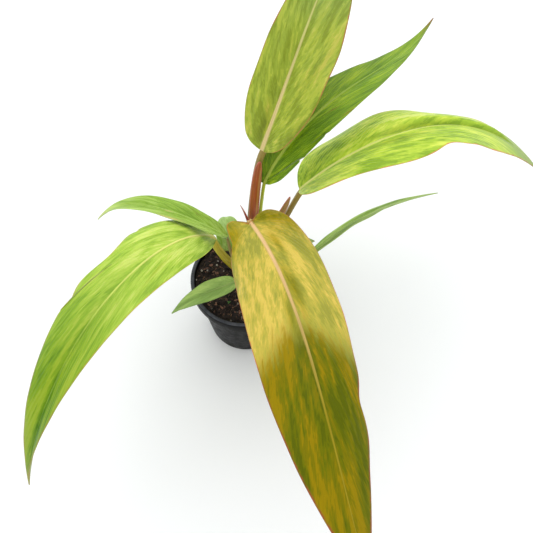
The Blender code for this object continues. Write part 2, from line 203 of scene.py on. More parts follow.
def put(tree, kind, sockets, output=0, **settings):
    item = tree.nodes.new("ShaderNode" + kind)
    for key, value in settings.items():
        setattr(item, key, value)
    for socket, value in sockets.items():
        if isinstance(value, bpy.types.NodeSocket):
            tree.links.new(value, item.inputs[socket])
        else:
            item.inputs[socket].default_value = value
    return item.outputs[output]


def attribute(tree, name, vector=False):
    return put(tree, "Attribute", {}, output="Vector" if vector else "Fac", attribute_name=name)


def objectPlace(tree):
    return put(tree, "TexCoord", {}, output="Object")


def split(tree, vector):
    item = tree.nodes.new("ShaderNodeSeparateXYZ")
    tree.links.new(vector, item.inputs[0])
    return item.outputs


def flat(tree, x, y):
    return put(tree, "CombineXYZ", {0: x, 1: y, 2: 0.0})


def calc(tree, operation, a, b=0.0):
    return put(tree, "Math", {0: a, 1: b}, operation=operation)


def plus(tree, a, b):
    return calc(tree, "ADD", a, b)


def minus(tree, a, b):
    return calc(tree, "SUBTRACT", a, b)


def times(tree, a, b):
    return calc(tree, "MULTIPLY", a, b)


def fade(tree, value, low, high, start=0.0, end=1.0):
    # start below low, end above high, and a soft step between
    sockets = {"Value": value, "From Min": low, "From Max": high, "To Min": start, "To Max": end}
    return put(tree, "MapRange", sockets, interpolation_type="SMOOTHSTEP")


def mixed(tree, share, first, second, how="MIX"):
    sockets = {0: share, 6: first, 7: second}
    return put(tree, "Mix", sockets, output=2, data_type="RGBA", blend_type=how)


def toned(tree, colour, value):
    # colour made darker or lighter by a value near 1
    grey = put(tree, "CombineColor", {0: value, 1: value, 2: value})
    return mixed(tree, 1.0, colour, grey, "MULTIPLY")


def grain(tree, place, sizes, seed=0.0, detail=2.0, roughness=0.5):
    # noise whose grains are as large as sizes, in metres: one size, or one for each axis of place
    if isinstance(sizes, float):
        sizes = (sizes, sizes, sizes)
    scale = tuple(1 / size for size in (*sizes, 1)[:3])
    stretched = put(tree, "VectorMath", {0: place, 1: scale, 2: (seed, seed, seed)},
                    operation="MULTIPLY_ADD")
    sockets = {"Vector": stretched, "Scale": 1.0, "Detail": detail, "Roughness": roughness}
    return put(tree, "TexNoise", sockets)


def ramp(tree, value, stops):
    item = tree.nodes.new("ShaderNodeValToRGB")
    tree.links.new(value, item.inputs[0])
    elements = item.color_ramp.elements
    while len(elements) < len(stops):
        elements.new(0.5)
    for element, (position, colour) in zip(elements, stops):
        element.position = position
        element.color = colour
    return item.outputs["Color"]


def finish(tree, shader, colour, relief=None, depth=0.0, strength=1.0):
    # wires the colour to the shader, and the relief where there is one
    tree.links.new(colour, shader.inputs["Base Color"])
    if relief is not None:
        normal = put(tree, "Bump", {"Height": relief, "Distance": depth, "Strength": strength})
        tree.links.new(normal, shader.inputs["Normal"])


# blades

cordate = ((-0.022, 0.30), (-0.020, 0.58), (0.03, 0.84), (0.14, 0.975), (0.30, 1.0),
           (0.48, 0.93), (0.66, 0.74), (0.82, 0.45), (0.92, 0.20))
rounded = ((0.004, 0.22), (0.02, 0.50), (0.06, 0.76), (0.15, 0.955), (0.30, 1.0),
           (0.48, 0.93), (0.66, 0.74), (0.82, 0.45), (0.92, 0.20))
wedged = ((0.010, 0.14), (0.035, 0.34), (0.08, 0.62), (0.16, 0.88), (0.30, 1.0),
          (0.48, 0.93), (0.66, 0.74), (0.82, 0.45), (0.92, 0.20))
narrow = ((0.01, 0.30), (0.05, 0.62), (0.15, 0.88), (0.30, 1.0), (0.46, 0.96),
          (0.62, 0.78), (0.78, 0.50), (0.90, 0.22))

# Each leaf's form, the same as its solid's, with plainLeaf for what it leaves out. pitch, heading and
# roll of the midrib are in degrees, halves are the left and right half widths, and stalk says how the
# stalk leaves the crown. look is what differs from the finish that the leaf uses.
# rib is the midrib's half width at the base, the middle and the tip. A fold is a long ridge or
# groove beside the midrib: side (-1 left), its distance and half width as shares of the half blade,
# where it starts and ends, and its height. A dent is a bite in the margin: side, place along the
# outline, depth as a share of the half width, and half length. A mark is a place where the colour
# differs: its kind, side, place along the outline and out from the midrib, half length and half width
# as shares, and strength. The kinds are the darker kind, which is partly real dark patches and partly
# painted shade in grooves and valleys beside the midrib, the pale kind and the dry kind.
plainLeaf = dict(outline=narrow, halves=(1.0, 1.0), rightLobe=1.0, curl=0, ripple=(0.0003, 3, 0),
                 rib=(0.0008, 0.0005, 0.0002), folds=(), dents=(), marks=(), look={})
leafForms = {
    "front": dict(
        outline=cordate, base=(0.0079, 0.0038, 0.1778), length=0.287, width=0.079,
        pitch=(19, -5, -35), heading=(-63, -76, -71), roll=(-16, 27), fold=(-9, 4), curl=-40,
        halves=(1.0, 1.02), rightLobe=2.7, ripple=(0.0012, 5, 40),
        rib=(0.0018, 0.0010, 0.0002), rows=300, columns=26,
        folds=((-1, 0.16, 0.10, 0.02, 0.42, -0.0022), (-1, 0.45, 0.16, 0.02, 0.35, 0.0016),
               (1, 0.18, 0.12, 0.30, 0.60, -0.0012), (-1, 0.20, 0.10, 0.45, 0.70, -0.0014)),
        dents=((-1, 0.615, 0.10, 0.035), (-1, 0.70, -0.07, 0.04), (1, 0.095, 0.19, 0.042)),
        marks=(("darkAndShade", -1, 0.105, 0.60, 0.090, 0.90, 1.0), ("darkAndShade", -1, 0.24, 0.40, 0.07, 0.30, 0.5),
               ("darkAndShade", -1, 0.36, 0.22, 0.07, 0.09, 0.8), ("darkAndShade", -1, 0.58, 0.16, 0.07, 0.12, 0.9),
               ("darkAndShade", 1, 0.09, 0.80, 0.07, 0.45, 0.9), ("darkAndShade", 1, 0.66, 0.12, 0.06, 0.10, 0.7)),
        stalk=dict(angle=285, height=0.098, rise=80, reach=(0.030, 0.014), arrive=(70, -70),
                   radii=(0.0026, 0.0020))),
    "top": dict(
        outline=rounded, base=(0.0175, 0.0393, 0.2235), length=0.192, width=0.062,
        pitch=(45, 26, 33), heading=(62, 67, 60), roll=(27, -12), fold=(17, 2), curl=-12,
        halves=(0.92, 1.12), ripple=(0.0008, 4, 0),
        rib=(0.0028, 0.0011, 0.00025), rows=240, columns=24,
        folds=((-1, 0.20, 0.12, 0.02, 0.50, -0.0020), (-1, 0.55, 0.20, 0.05, 0.60, 0.0012),
               (1, 0.50, 0.14, 0.15, 0.80, -0.0010)),
        dents=((-1, 0.66, 0.03, 0.02),),
        marks=(("darkAndShade", -1, 0.34, 0.22, 0.16, 0.12, 0.8), ("darkAndShade", 1, 0.50, 0.70, 0.06, 0.25, 0.35),
               ("darkAndShade", 1, 0.16, 0.85, 0.07, 0.20, 0.6)),
        stalk=dict(angle=87, height=0.1140, rise=74, reach=(0.030, 0.016), arrive=(48, 33),
                   radii=(0.0030, 0.0027))),
    "rear": dict(
        base=(0.0190, 0.0312, 0.1925), length=0.243, width=0.0380,
        pitch=(54, -9, 16), heading=(49, 46, 55), roll=(-30, 33), fold=(12, 4),
        halves=(0.95, 1.0), ripple=(0.0006, 5, 0),
        rib=(0.0014, 0.0009, 0.0002), rows=220, columns=18,
        folds=((1, 0.45, 0.20, 0.15, 0.70, 0.0008),),
        dents=((1, 0.155, 0.16, 0.007), (1, 0.27, 0.04, 0.008)),
        marks=(("dry", 1, 0.568, 0.44, 0.006, 0.06, 0.8), ("dry", 1, 0.405, 0.93, 0.008, 0.05, 0.9),
               ("dry", 0, 1.0, 0.5, 0.030, 1.5, 1.0), ("darkAndShade", -1, 0.40, 0.60, 0.50, 0.90, 0.55)),
        look=dict(tint=(1.16, 1.13, 0.75)),
        stalk=dict(angle=65, height=0.094, rise=68, reach=(0.045, 0.022), arrive=(69, 63),
                   radii=(0.0016, 0.00135))),
    "right": dict(
        outline=rounded, base=(0.0489, 0.0394, 0.1725), length=0.275, width=0.0776,
        pitch=(42, -15, -45), heading=(21, 18, -16), roll=(29, 11), fold=(23, -4), curl=-29,
        halves=(1.02, 1.01), ripple=(0.0030, 2.5, -18),
        rib=(0.0021, 0.0010, 0.0003), rows=280, columns=26,
        folds=((-1, 0.15, 0.11, 0.28, 0.85, -0.0026), (-1, 0.42, 0.15, 0.25, 0.85, 0.0030),
               (1, 0.30, 0.20, 0.10, 0.55, -0.0010)),
        dents=((1, 0.482, 0.14, 0.050), (1, 0.57, 0.03, 0.03)),
        look=dict(colours=((132, 168, 34), (158, 192, 50), (182, 208, 66), (206, 222, 92)),
                  deepAndShadedColours=((74, 114, 34), (94, 134, 42), (112, 146, 48), (136, 160, 60)),
                  deepAndShadeFrom=(0.60, 0.90), margin=(216, 146, 84), tint=(1.08, 1.04, 0.85),
                  ribFade=(0.60, 0.95, 0.4)),
        marks=(("darkAndShade", -1, 0.70, 0.18, 0.14, 0.10, 0.85), ("darkAndShade", -1, 0.82, 0.12, 0.07, 0.12, 0.8),
               ("darkAndShade", -1, 0.30, 0.30, 0.20, 0.40, 0.45), ("darkAndShade", 1, 0.18, 0.35, 0.12, 0.45, 0.5),
               ("darkAndShade", 1, 0.62, 0.28, 0.08, 0.12, 0.6)),
        stalk=dict(angle=29, height=0.101, rise=41, reach=(0.016, 0.007), arrive=(47, 20),
                   radii=(0.0028, 0.0026))),
    "side": dict(
        base=(0.0519, 0.0041, 0.1100), length=0.163, width=0.030,
        pitch=(25, -7, -7), heading=(40, 32, 17), roll=(58, 42), fold=(0, 15), curl=-6,
        halves=(0.70, 1.10), ripple=(0.0005, 4, 0),
        rib=(0.0012, 0.0008, 0.0002), rows=160, columns=16, look=dict(tint=(1.02, 1.02, 1.10)),
        marks=(("darkAndShade", 1, 0.35, 0.75, 0.35, 0.35, 0.6),),
        stalk=dict(angle=340, height=0.090, rise=25, reach=(0.012, 0.015), radii=(0.0018, 0.0015))),
    "left": dict(
        outline=wedged, base=(-0.0243, 0.0192, 0.1283), length=0.3094, width=0.0664,
        pitch=(63, -12, -62), heading=(224, 237, 240), roll=(16, -38), fold=(-3, 31), curl=-36,
        halves=(0.73, 1.02), ripple=(0.0003, 4, 90),
        rib=(0.0013, 0.0009, 0.0002), rows=300, columns=26,
        folds=((1, 0.14, 0.10, 0.03, 0.50, -0.0012), (-1, 0.25, 0.15, 0.55, 0.90, 0.0010)),
        dents=((1, 0.255, 0.06, 0.012), (1, 0.500, 0.15, 0.028), (1, 0.360, 0.20, 0.070)),
        # the left leaf's darker colours towards its tip are painted shade where the blade hangs down
        # away from the light
        look=dict(deepAndShadedColours=((72, 114, 0), (94, 132, 4), (116, 148, 12), (138, 162, 28)),
                  deepAndShadeFrom=(0.22, 0.70), tint=(1.04, 1.03, 1.3), gloss=0.12),
        marks=(("darkAndShade", -1, 0.49, 0.56, 0.018, 0.16, 0.5), ("darkAndShade", 1, 0.52, 0.95, 0.02, 0.14, 0.4),
               ("pale", 0, 1.0, 0.5, 0.03, 1.5, 0.5)),
        stalk=dict(angle=160, height=0.0905, rise=21, reach=(0.019, 0.011), arrive=(79, 196),
                   radii=(0.0043, 0.0038))),
    "upper_left": dict(
        base=(-0.0135, 0.0144, 0.1380), length=0.148, width=0.0236,
        pitch=(43, -12, -55), heading=(172, 160, 181), roll=(-18, -10), fold=(20, 12),
        ripple=(0.0004, 4, 0),
        rib=(0.0011, 0.0007, 0.0002), rows=160, columns=16,
        folds=((1, 0.5, 0.2, 0.2, 0.8, 0.0006),),
        marks=(("pale", -1, 0.38, 0.95, 0.05, 0.14, 0.8), ("pale", -1, 0.688, 0.10, 0.012, 0.10, 0.8),
               ("dry", 1, 0.369, 0.60, 0.008, 0.07, 0.9), ("pale", 0, 1.0, 0.5, 0.05, 1.5, 0.6)),
        stalk=dict(angle=171, height=0.098, rise=47, reach=(0.017, 0.009), arrive=(48, 232),
                   radii=(0.0016, 0.0015))),
    "inner_left": dict(
        base=(-0.0115, 0.0235, 0.0990), length=0.046, width=0.024,
        pitch=(58, 8, -75), heading=(104, 100, 96), roll=(0, 0), fold=(12, 4), curl=-10,
        rib=(0.0009, 0.0006, 0.0002), rows=110, columns=14, look=dict(tint=(0.85, 0.90, 1.25)),
        stalk=dict(angle=118, height=0.086, rise=22, reach=(0.010, 0.008), radii=(0.0016, 0.0014))),
    "low_front": dict(
        base=(-0.0061, -0.0144, 0.1093), length=0.065, width=0.0198,
        pitch=(8, -8, -29), heading=(209, 203, 212), roll=(5, -8), fold=(14, 10),
        # the low front leaf is brightened all over by its tint: painted light against the shade that the
        # leaves above cast on it
        rows=120, columns=14, look=dict(tint=(1.45, 1.45, 1.45)),
        stalk=dict(angle=238, height=0.088, rise=60, reach=(0.008, 0.006), radii=(0.0016, 0.0013))),
    "inner_right": dict(
        base=(0.0290, 0.0155, 0.1085), length=0.042, width=0.018,
        pitch=(22, -4, -38), heading=(24, 22, 18), roll=(0, 0), fold=(16, 8),
        rows=100, columns=14,
        marks=(("dry", 0, 1.0, 0.5, 0.03, 1.5, 0.9),), look=dict(tint=(1.2, 1.2, 1.2)),
        stalk=dict(angle=5, height=0.0860, rise=45, reach=(0.008, 0.008), radii=(0.0015, 0.0013))),
}
leafForms = {name: {**plainLeaf, **form} for name, form in leafForms.items()}

# lengths are in metres; fades are the shares of the blade over which its relief sets in and dies out
bladeBuild = dict(
    thickness=0.00070, rimThickness=0.00045, ribThickness=0.0024, ribUnderHalf=0.0022,
    ribFadeStart=0.75, junctionSpread=0.0005, tipHalfWidth=0.0003, veinRootPower=2.7,
    veinBendPower=1.25, ripplePower=2.5, leftRippleLag=2.2, spineSteps=400, outlineSteps=24,
    ribRise=0.00035, ribGroove=0.00045, groovePlace=1.45, grooveHalf=0.55, veinSpacing=0.0085,
    veinRelief=0.00016, puckerSize=0.034, puckerRelief=0.00055, rippleSize=0.030,
    rippleRelief=0.0003, rootFade=0.05, rippleRootFade=0.08, tipFade=0.25, foldFades=(0.10, 0.12),
    rimWidth=1 / 6, rimBulge=0.35, thinnestRib=0.0002, columnPower=0.92,
)
ribFractions = np.array([0, 0.14, 0.29, 0.45, 0.60, 0.80, 1.0])  # columns across the midrib
ribZone = 1.65  # how far those columns reach, in half widths of the midrib


def through(values, share):
    first, middle, last = values
    return (first * (1 - share) * (1 - 2 * share) + 4 * middle * share * (1 - share)
            + last * share * (2 * share - 1))


def leafFrame(form, share):
    # the midrib's direction, the blade's right side and its upper side at each share of its length
    pitch = np.radians(through(form["pitch"], share))
    heading = np.radians(through(form["heading"], share))
    roll = np.radians(form["roll"][0] + (form["roll"][1] - form["roll"][0]) * share)[..., None]
    level = np.cos(pitch)
    tangent = np.stack([level * np.cos(heading), level * np.sin(heading), np.sin(pitch)], -1)
    side = np.stack([np.sin(heading), -np.cos(heading), np.zeros_like(heading)], -1)
    up = np.cross(side, tangent)
    return tangent, side * np.cos(roll) + up * np.sin(roll), up * np.cos(roll) - side * np.sin(roll)


def leafSpine(form):
    tangents = leafFrame(form, np.linspace(0, 1, bladeBuild["spineSteps"] + 1))[0]
    steps = (tangents[:-1] + tangents[1:]) * (form["length"] / bladeBuild["spineSteps"] / 2)
    return np.vstack([np.zeros(3), np.cumsum(steps, axis=0)]) + form["base"]


def onBlade(form, spine, along, across, extra):
    # places in space of points of the flat blade, lifted by extra
    steps = bladeBuild["spineSteps"]
    share = np.clip(along / form["length"], 0, 1)
    index = np.minimum((share * steps).astype(int), steps - 1)
    part = (share * steps - index)[..., None]
    tangent, side, up = leafFrame(form, share)
    centre = spine[index] * (1 - part) + spine[index + 1] * part
    centre = centre + tangent * (along - share * form["length"])[..., None]
    reach = np.abs(across)
    edgeShare = reach / (form["width"] / 2)
    fold = form["fold"][0] + (form["fold"][1] - form["fold"][0]) * share
    tilt = np.radians(fold + form["curl"] * edgeShare / 2)
    height, waves, phase = form["ripple"]
    lag = np.where(across < 0, bladeBuild["leftRippleLag"], 0.0)
    wave = np.sin(2 * math.pi * waves * share + math.radians(phase) + lag)
    lift = reach * np.sin(tilt) + height * edgeShare ** bladeBuild["ripplePower"] * wave + extra
    return centre + side * (np.sign(across) * reach * np.cos(tilt))[..., None] + up * lift[..., None]


def bladeMargin(form):
    # evenly spaced points of one half's outline, as (along, across) in metres, and its length
    half = form["width"] / 2
    junction = form["stalk"]["radii"][1] + bladeBuild["junctionSpread"]
    ends = ((0.0, junction / half), (1.0, bladeBuild["tipHalfWidth"] / half))
    corners = np.array([ends[0], *form["outline"], ends[1]]) * (form["length"], half)
    padded = np.vstack([2 * corners[0] - corners[1], corners, 2 * corners[-1] - corners[-2]])
    curve = []
    for a, b, c, d in zip(padded, padded[1:], padded[2:], padded[3:]):
        for t in np.linspace(0, 1, bladeBuild["outlineSteps"], endpoint=False):
            curve.append(0.5 * (2 * b + (c - a) * t + (2 * a - 5 * b + 4 * c - d) * t ** 2
                                + (3 * b - a - 3 * c + d) * t ** 3))
    curve = np.array(curve + [corners[-1]])
    lengths = runLengths(curve)
    even = np.linspace(0, lengths[-1], form["rows"] + 1)
    return np.interp(even, lengths, curve[:, 0]), np.interp(even, lengths, curve[:, 1]), lengths[-1]


def bladeRelief(form, share, out, along, across, ribHalf, vein, seed):
    # what the plain form lacks: the raised midrib, grooves, side veins and soft puckers
    make = bladeBuild
    distance = np.abs(across)
    fadeTip = np.clip((1 - share) / make["tipFade"], 0, 1)
    relief = make["ribRise"] * np.sqrt(np.clip(1 - (distance / ribHalf) ** 2, 0, 1)) * fadeTip
    groove = hill(distance, make["groovePlace"] * ribHalf, make["grooveHalf"] * ribHalf)
    relief -= make["ribGroove"] * groove * fadeTip
    window = np.clip(4 * out * (1 - out), 0, 1) * np.clip(share / make["rootFade"], 0, 1) * fadeTip
    relief += make["veinRelief"] * np.cos(2 * math.pi * vein / make["veinSpacing"]) * window
    relief += make["puckerRelief"] * ripples(seed, along, across, make["puckerSize"]) * window
    edge = ripples(seed + 1, along, np.sign(across), make["rippleSize"], 4)
    relief += (make["rippleRelief"] * edge * out ** 4
               * np.clip(share / make["rippleRootFade"], 0, 1) * fadeTip)
    position = along / form["length"]
    fadeIn, fadeOut = make["foldFades"]
    for side, centre, width, start, end, height in form["folds"]:
        ends = np.clip((position - start) / fadeIn, 0, 1) * np.clip((end - position) / fadeOut, 0, 1)
        smooth = ends * ends * (3 - 2 * ends)
        relief += height * hill(out, centre, width) * smooth * (np.sign(across) == side)
    return relief


def makeBlade(name, form, material, seed):
    make = bladeBuild
    rows, halfColumns = form["rows"], form["columns"]
    edgeAlong, edgeAcross, outlineLength = bladeMargin(form)
    edgeAlong = edgeAlong[:, None]
    share = np.linspace(0, 1, rows + 1)
    root = form["length"] * share ** make["veinRootPower"]
    ribAtRow = through(form["rib"], root / form["length"])
    ribShare = np.minimum(0.5, ribZone * ribAtRow / edgeAcross)[:, None]
    outer = np.linspace(0, 1, halfColumns - len(ribFractions) + 2)[1:] ** make["columnPower"]
    out = np.hstack([ribShare * ribFractions, ribShare + (1 - ribShare) * outer])
    out = np.hstack([out[:, :0:-1], out])  # left half, midrib, right half
    sign = np.repeat([-1.0, 0.0, 1.0], [halfColumns, 1, halfColumns])[None, :] * np.ones_like(out)
    rowShare = share[:, None] * np.ones_like(out)
    reachAlong = edgeAlong * np.where((edgeAlong < 0) & (sign > 0), form["rightLobe"], 1.0)
    along = root[:, None] + (reachAlong - root[:, None]) * out ** make["veinBendPower"]
    width = edgeAcross[:, None] * np.where(sign < 0, *form["halves"])
    for side, place, depth, length in form["dents"]:
        width = width * (1 - depth * hill(rowShare, place, length) * (sign == side))
    across = width * out * sign
    vein = rowShare * outlineLength
    position = np.clip(along / form["length"], 0, 1)
    ribHalf = np.maximum(through(form["rib"], position), make["thinnestRib"])
    relief = bladeRelief(form, rowShare, out, along, across, ribHalf, vein, seed)
    spine = leafSpine(form)
    top = onBlade(form, spine, along, across, relief)
    plain = onBlade(form, spine, along, across, 0 * relief)
    normal = unit(np.cross(np.gradient(plain, axis=1), np.gradient(plain, axis=0)))
    if (normal * leafFrame(form, position)[2]).sum() < 0:
        normal = -normal
    inside = np.clip((1 - out) / make["rimWidth"], 0, 1)
    thickness = make["rimThickness"] + (make["thickness"] - make["rimThickness"]) * inside
    ribFade = np.clip((1 - rowShare) / (1 - make["ribFadeStart"]), 0, 1)
    under = np.sqrt(np.clip(1 - (np.abs(across) / make["ribUnderHalf"]) ** 2, 0, 1)) * ribFade
    thickness = thickness + (make["ribThickness"] - make["thickness"]) * under
    bottom = top - normal * thickness[..., None]
    marks = {"darkAndShade": 0 * out, "pale": 0 * out, "dry": 0 * out}
    for kind, side, place, reach, length, breadth, strength in form["marks"]:
        spot = hill(rowShare, place, length) * hill(out, reach, breadth) * (sign * side >= 0)
        marks[kind] = np.maximum(marks[kind], strength * spot)
    vertices, faces, tags = closeBlade(top, bottom, dict(
        place=np.stack([along, across, out], -1), marks=np.stack(list(marks.values()), -1),
        vein=vein, ribHalf=ribHalf, edgeDistance=(1 - out) * width))
    piece = addPiece(f"leafBlade.{name}", vertices, faces, material, f"blade_{name}",
                     leafLooks[leafUses[name]]["slot"])
    for key, values in tags.items():
        tag(piece, key, values)


def closeBlade(top, bottom, values):
    # one closed skin: upper face, rounded rim, lower face
    rows, columns, _ = top.shape
    rim = [(0, j) for j in range(columns)] + [(i, columns - 1) for i in range(1, rows)]
    rim += [(rows - 1, j) for j in range(columns - 2, -1, -1)] + [(i, 0) for i in range(rows - 2, 0, -1)]
    ri, rj = np.array(rim).T
    inward = (np.clip(ri, 1, rows - 2), np.clip(rj, 1, columns - 2))
    middle = (top[ri, rj] + bottom[ri, rj]) / 2
    outward = unit(middle - (top[inward] + bottom[inward]) / 2)
    thickness = np.linalg.norm(top[ri, rj] - bottom[ri, rj], axis=-1, keepdims=True)
    edge = middle + outward * bladeBuild["rimBulge"] * thickness
    count = rows * columns
    faces = gridFaces(rows, columns, flip=True) + gridFaces(rows, columns, offset=count)
    upper = [int(index) for index in ri * columns + rj]
    for a in range(len(rim)):
        b = (a + 1) % len(rim)
        faces.append((upper[a], upper[b], 2 * count + b, 2 * count + a))
        faces.append((2 * count + a, 2 * count + b, count + upper[b], count + upper[a]))
    vertices = np.vstack([top.reshape(-1, 3), bottom.reshape(-1, 3), edge])
    tags = {"under": np.concatenate([np.zeros(count), np.ones(count), np.full(len(rim), 0.5)])}
    for key, value in values.items():
        face = value.reshape(count, *value.shape[2:])
        tags[key] = np.concatenate([face, face, value[ri, rj]])
    return vertices, faces, tags


# finish of the blades

# colours are the mottling's, dark to bright, and levels where each starts on the noise. Past a start
# and an end along the blade that the look gives, a second, darker set of colours takes their place:
# partly the leaf's own deeper tone and partly painted shade where the blade turns down away from the
# light. rib and ribTip are the midrib's colours at its base and further on, and ribFade says where it
# fades and what is left of it.
plainLook = dict(deepAndShadeFrom=None, tint=(1.0, 1.0, 1.0), ribFade=(0.80, 1.0, 0.4), gloss=0.25)
leafLooks = {
    # the orange leaf's colours carry a painted sheen: paler, greyer tones that stand in for the sky's
    # reflection on its upper blade, which is why its gloss is low. Its darker colours further along are
    # the blade without that painted sheen, partly its own deeper tone and partly painted shade where it
    # bends down from the light
    "orange": dict(
        slot="leaf_orange", colours=((156, 153, 60), (174, 166, 66), (192, 175, 72), (214, 188, 86)),
        deepAndShadedColours=((88, 95, 0), (104, 107, 0), (121, 112, 0), (145, 123, 1)), deepAndShadeFrom=(0.325, 0.425),
        levels=(0.445, 0.495, 0.550), rib=(228, 188, 136), ribTip=(154, 136, 30), margin=(208, 120, 66),
        marginWidth=0.0009, under=(150, 128, 70), roughness=0.36, gloss=0.07),
    "olive": dict(
        slot="leaf_lime", colours=((125, 140, 22), (139, 156, 38), (161, 172, 50), (185, 182, 72)),
        deepAndShadedColours=((98, 128, 60), (118, 144, 66), (140, 160, 70), (168, 176, 80)),
        levels=(0.455, 0.520, 0.590), rib=(208, 186, 126), ribTip=(180, 180, 100), margin=(170, 110, 60),
        deepAndShadeFrom=(0.42, 0.80), marginWidth=0.0009, under=(140, 138, 84), roughness=0.38),
    "lime": dict(
        slot="leaf_lime", colours=((138, 172, 48), (160, 192, 58), (178, 204, 72), (200, 216, 94)),
        deepAndShadedColours=((104, 138, 18), (132, 164, 28), (154, 178, 40), (178, 192, 60)),
        levels=(0.450, 0.505, 0.570), rib=(222, 222, 124), ribTip=(196, 212, 96), margin=(206, 190, 80),
        deepAndShadeFrom=(0.60, 0.95), ribFade=(0.32, 0.60, 0.2), marginWidth=0.0007, under=(150, 160, 96),
        roughness=0.38),
    "green": dict(
        slot="leaf_green", colours=((90, 126, 4), (109, 145, 14), (130, 162, 26), (153, 179, 38)),
        levels=(0.460, 0.525, 0.590), rib=(168, 186, 70), ribTip=(140, 170, 50), margin=(124, 142, 50),
        marginWidth=0.0005, under=(118, 140, 84), roughness=0.40, gloss=0.22),
    "fresh": dict(
        slot="leaf_green", colours=((120, 156, 42), (140, 175, 56), (160, 190, 82), (179, 206, 100)),
        levels=(0.455, 0.515, 0.575), rib=(168, 200, 90), ribTip=(176, 202, 100), margin=(170, 196, 100),
        ribFade=(0.0, 0.5, 0.35), marginWidth=0.0005, under=(140, 158, 100), roughness=0.40),
    "dull": dict(
        slot="leaf_green", colours=((120, 148, 76), (132, 160, 84), (144, 170, 92), (158, 182, 102)),
        levels=(0.460, 0.525, 0.590), rib=(164, 190, 112), ribTip=(150, 178, 98), margin=(130, 158, 84),
        marginWidth=0.0004, under=(112, 124, 80), roughness=0.42),
}
leafUses = {"front": "orange", "top": "olive", "rear": "green", "right": "lime", "left": "lime",
            "side": "fresh", "upper_left": "fresh", "inner_left": "fresh", "low_front": "dull",
            "inner_right": "dull"}
# patch, broad, streak, fibre and hair are sizes across and along the side veins. tear is how far one
# fibre's colour may run past the next one's. fringe and outwards shape the edge of the darker zone
# further along the blade, which is partly painted shade.
mottling = dict(patch=(0.016, 0.0040), broad=(0.055, 0.014), streak=(0.0040, 0.0022),
                fibre=(0.0024, 0.004), hair=(0.0010, 0.0012), tear=0.004, weights=(0.47, 0.36, 0.17),
                softness=0.016, fringe=0.35, outwards=0.09, brighterOut=0.05, brighterOn=0.10,
                darkAndShade=(0.60, 0.58, 0.04), pale=(226, 190, 132), dry=(136, 86, 34))
# ribTones is where the midrib turns from rib to ribTip, and ribEdge where it ends, in half widths
leafSkin = dict(ribTones=(0.10, 0.62), ribEdge=(0.45, 1.30), fineVein=0.0021, cell=0.0004,
                reliefDepth=0.00012, veinShare=0.22, hairShare=0.9, cellShare=0.35,
                subsurface=0.10, subsurfaceRadius=(0.5, 0.8, 0.2), subsurfaceScale=0.0012)


def mottledColour(tree, level, colours, levels):
    # the colours follow each other where the noise passes the levels
    stops, soft = [], mottling["softness"]
    for edge, before, after in zip(levels, colours, colours[1:]):
        stops += [(edge - soft, shade(*before)), (edge + soft, shade(*after))]
    return ramp(tree, level, stops)


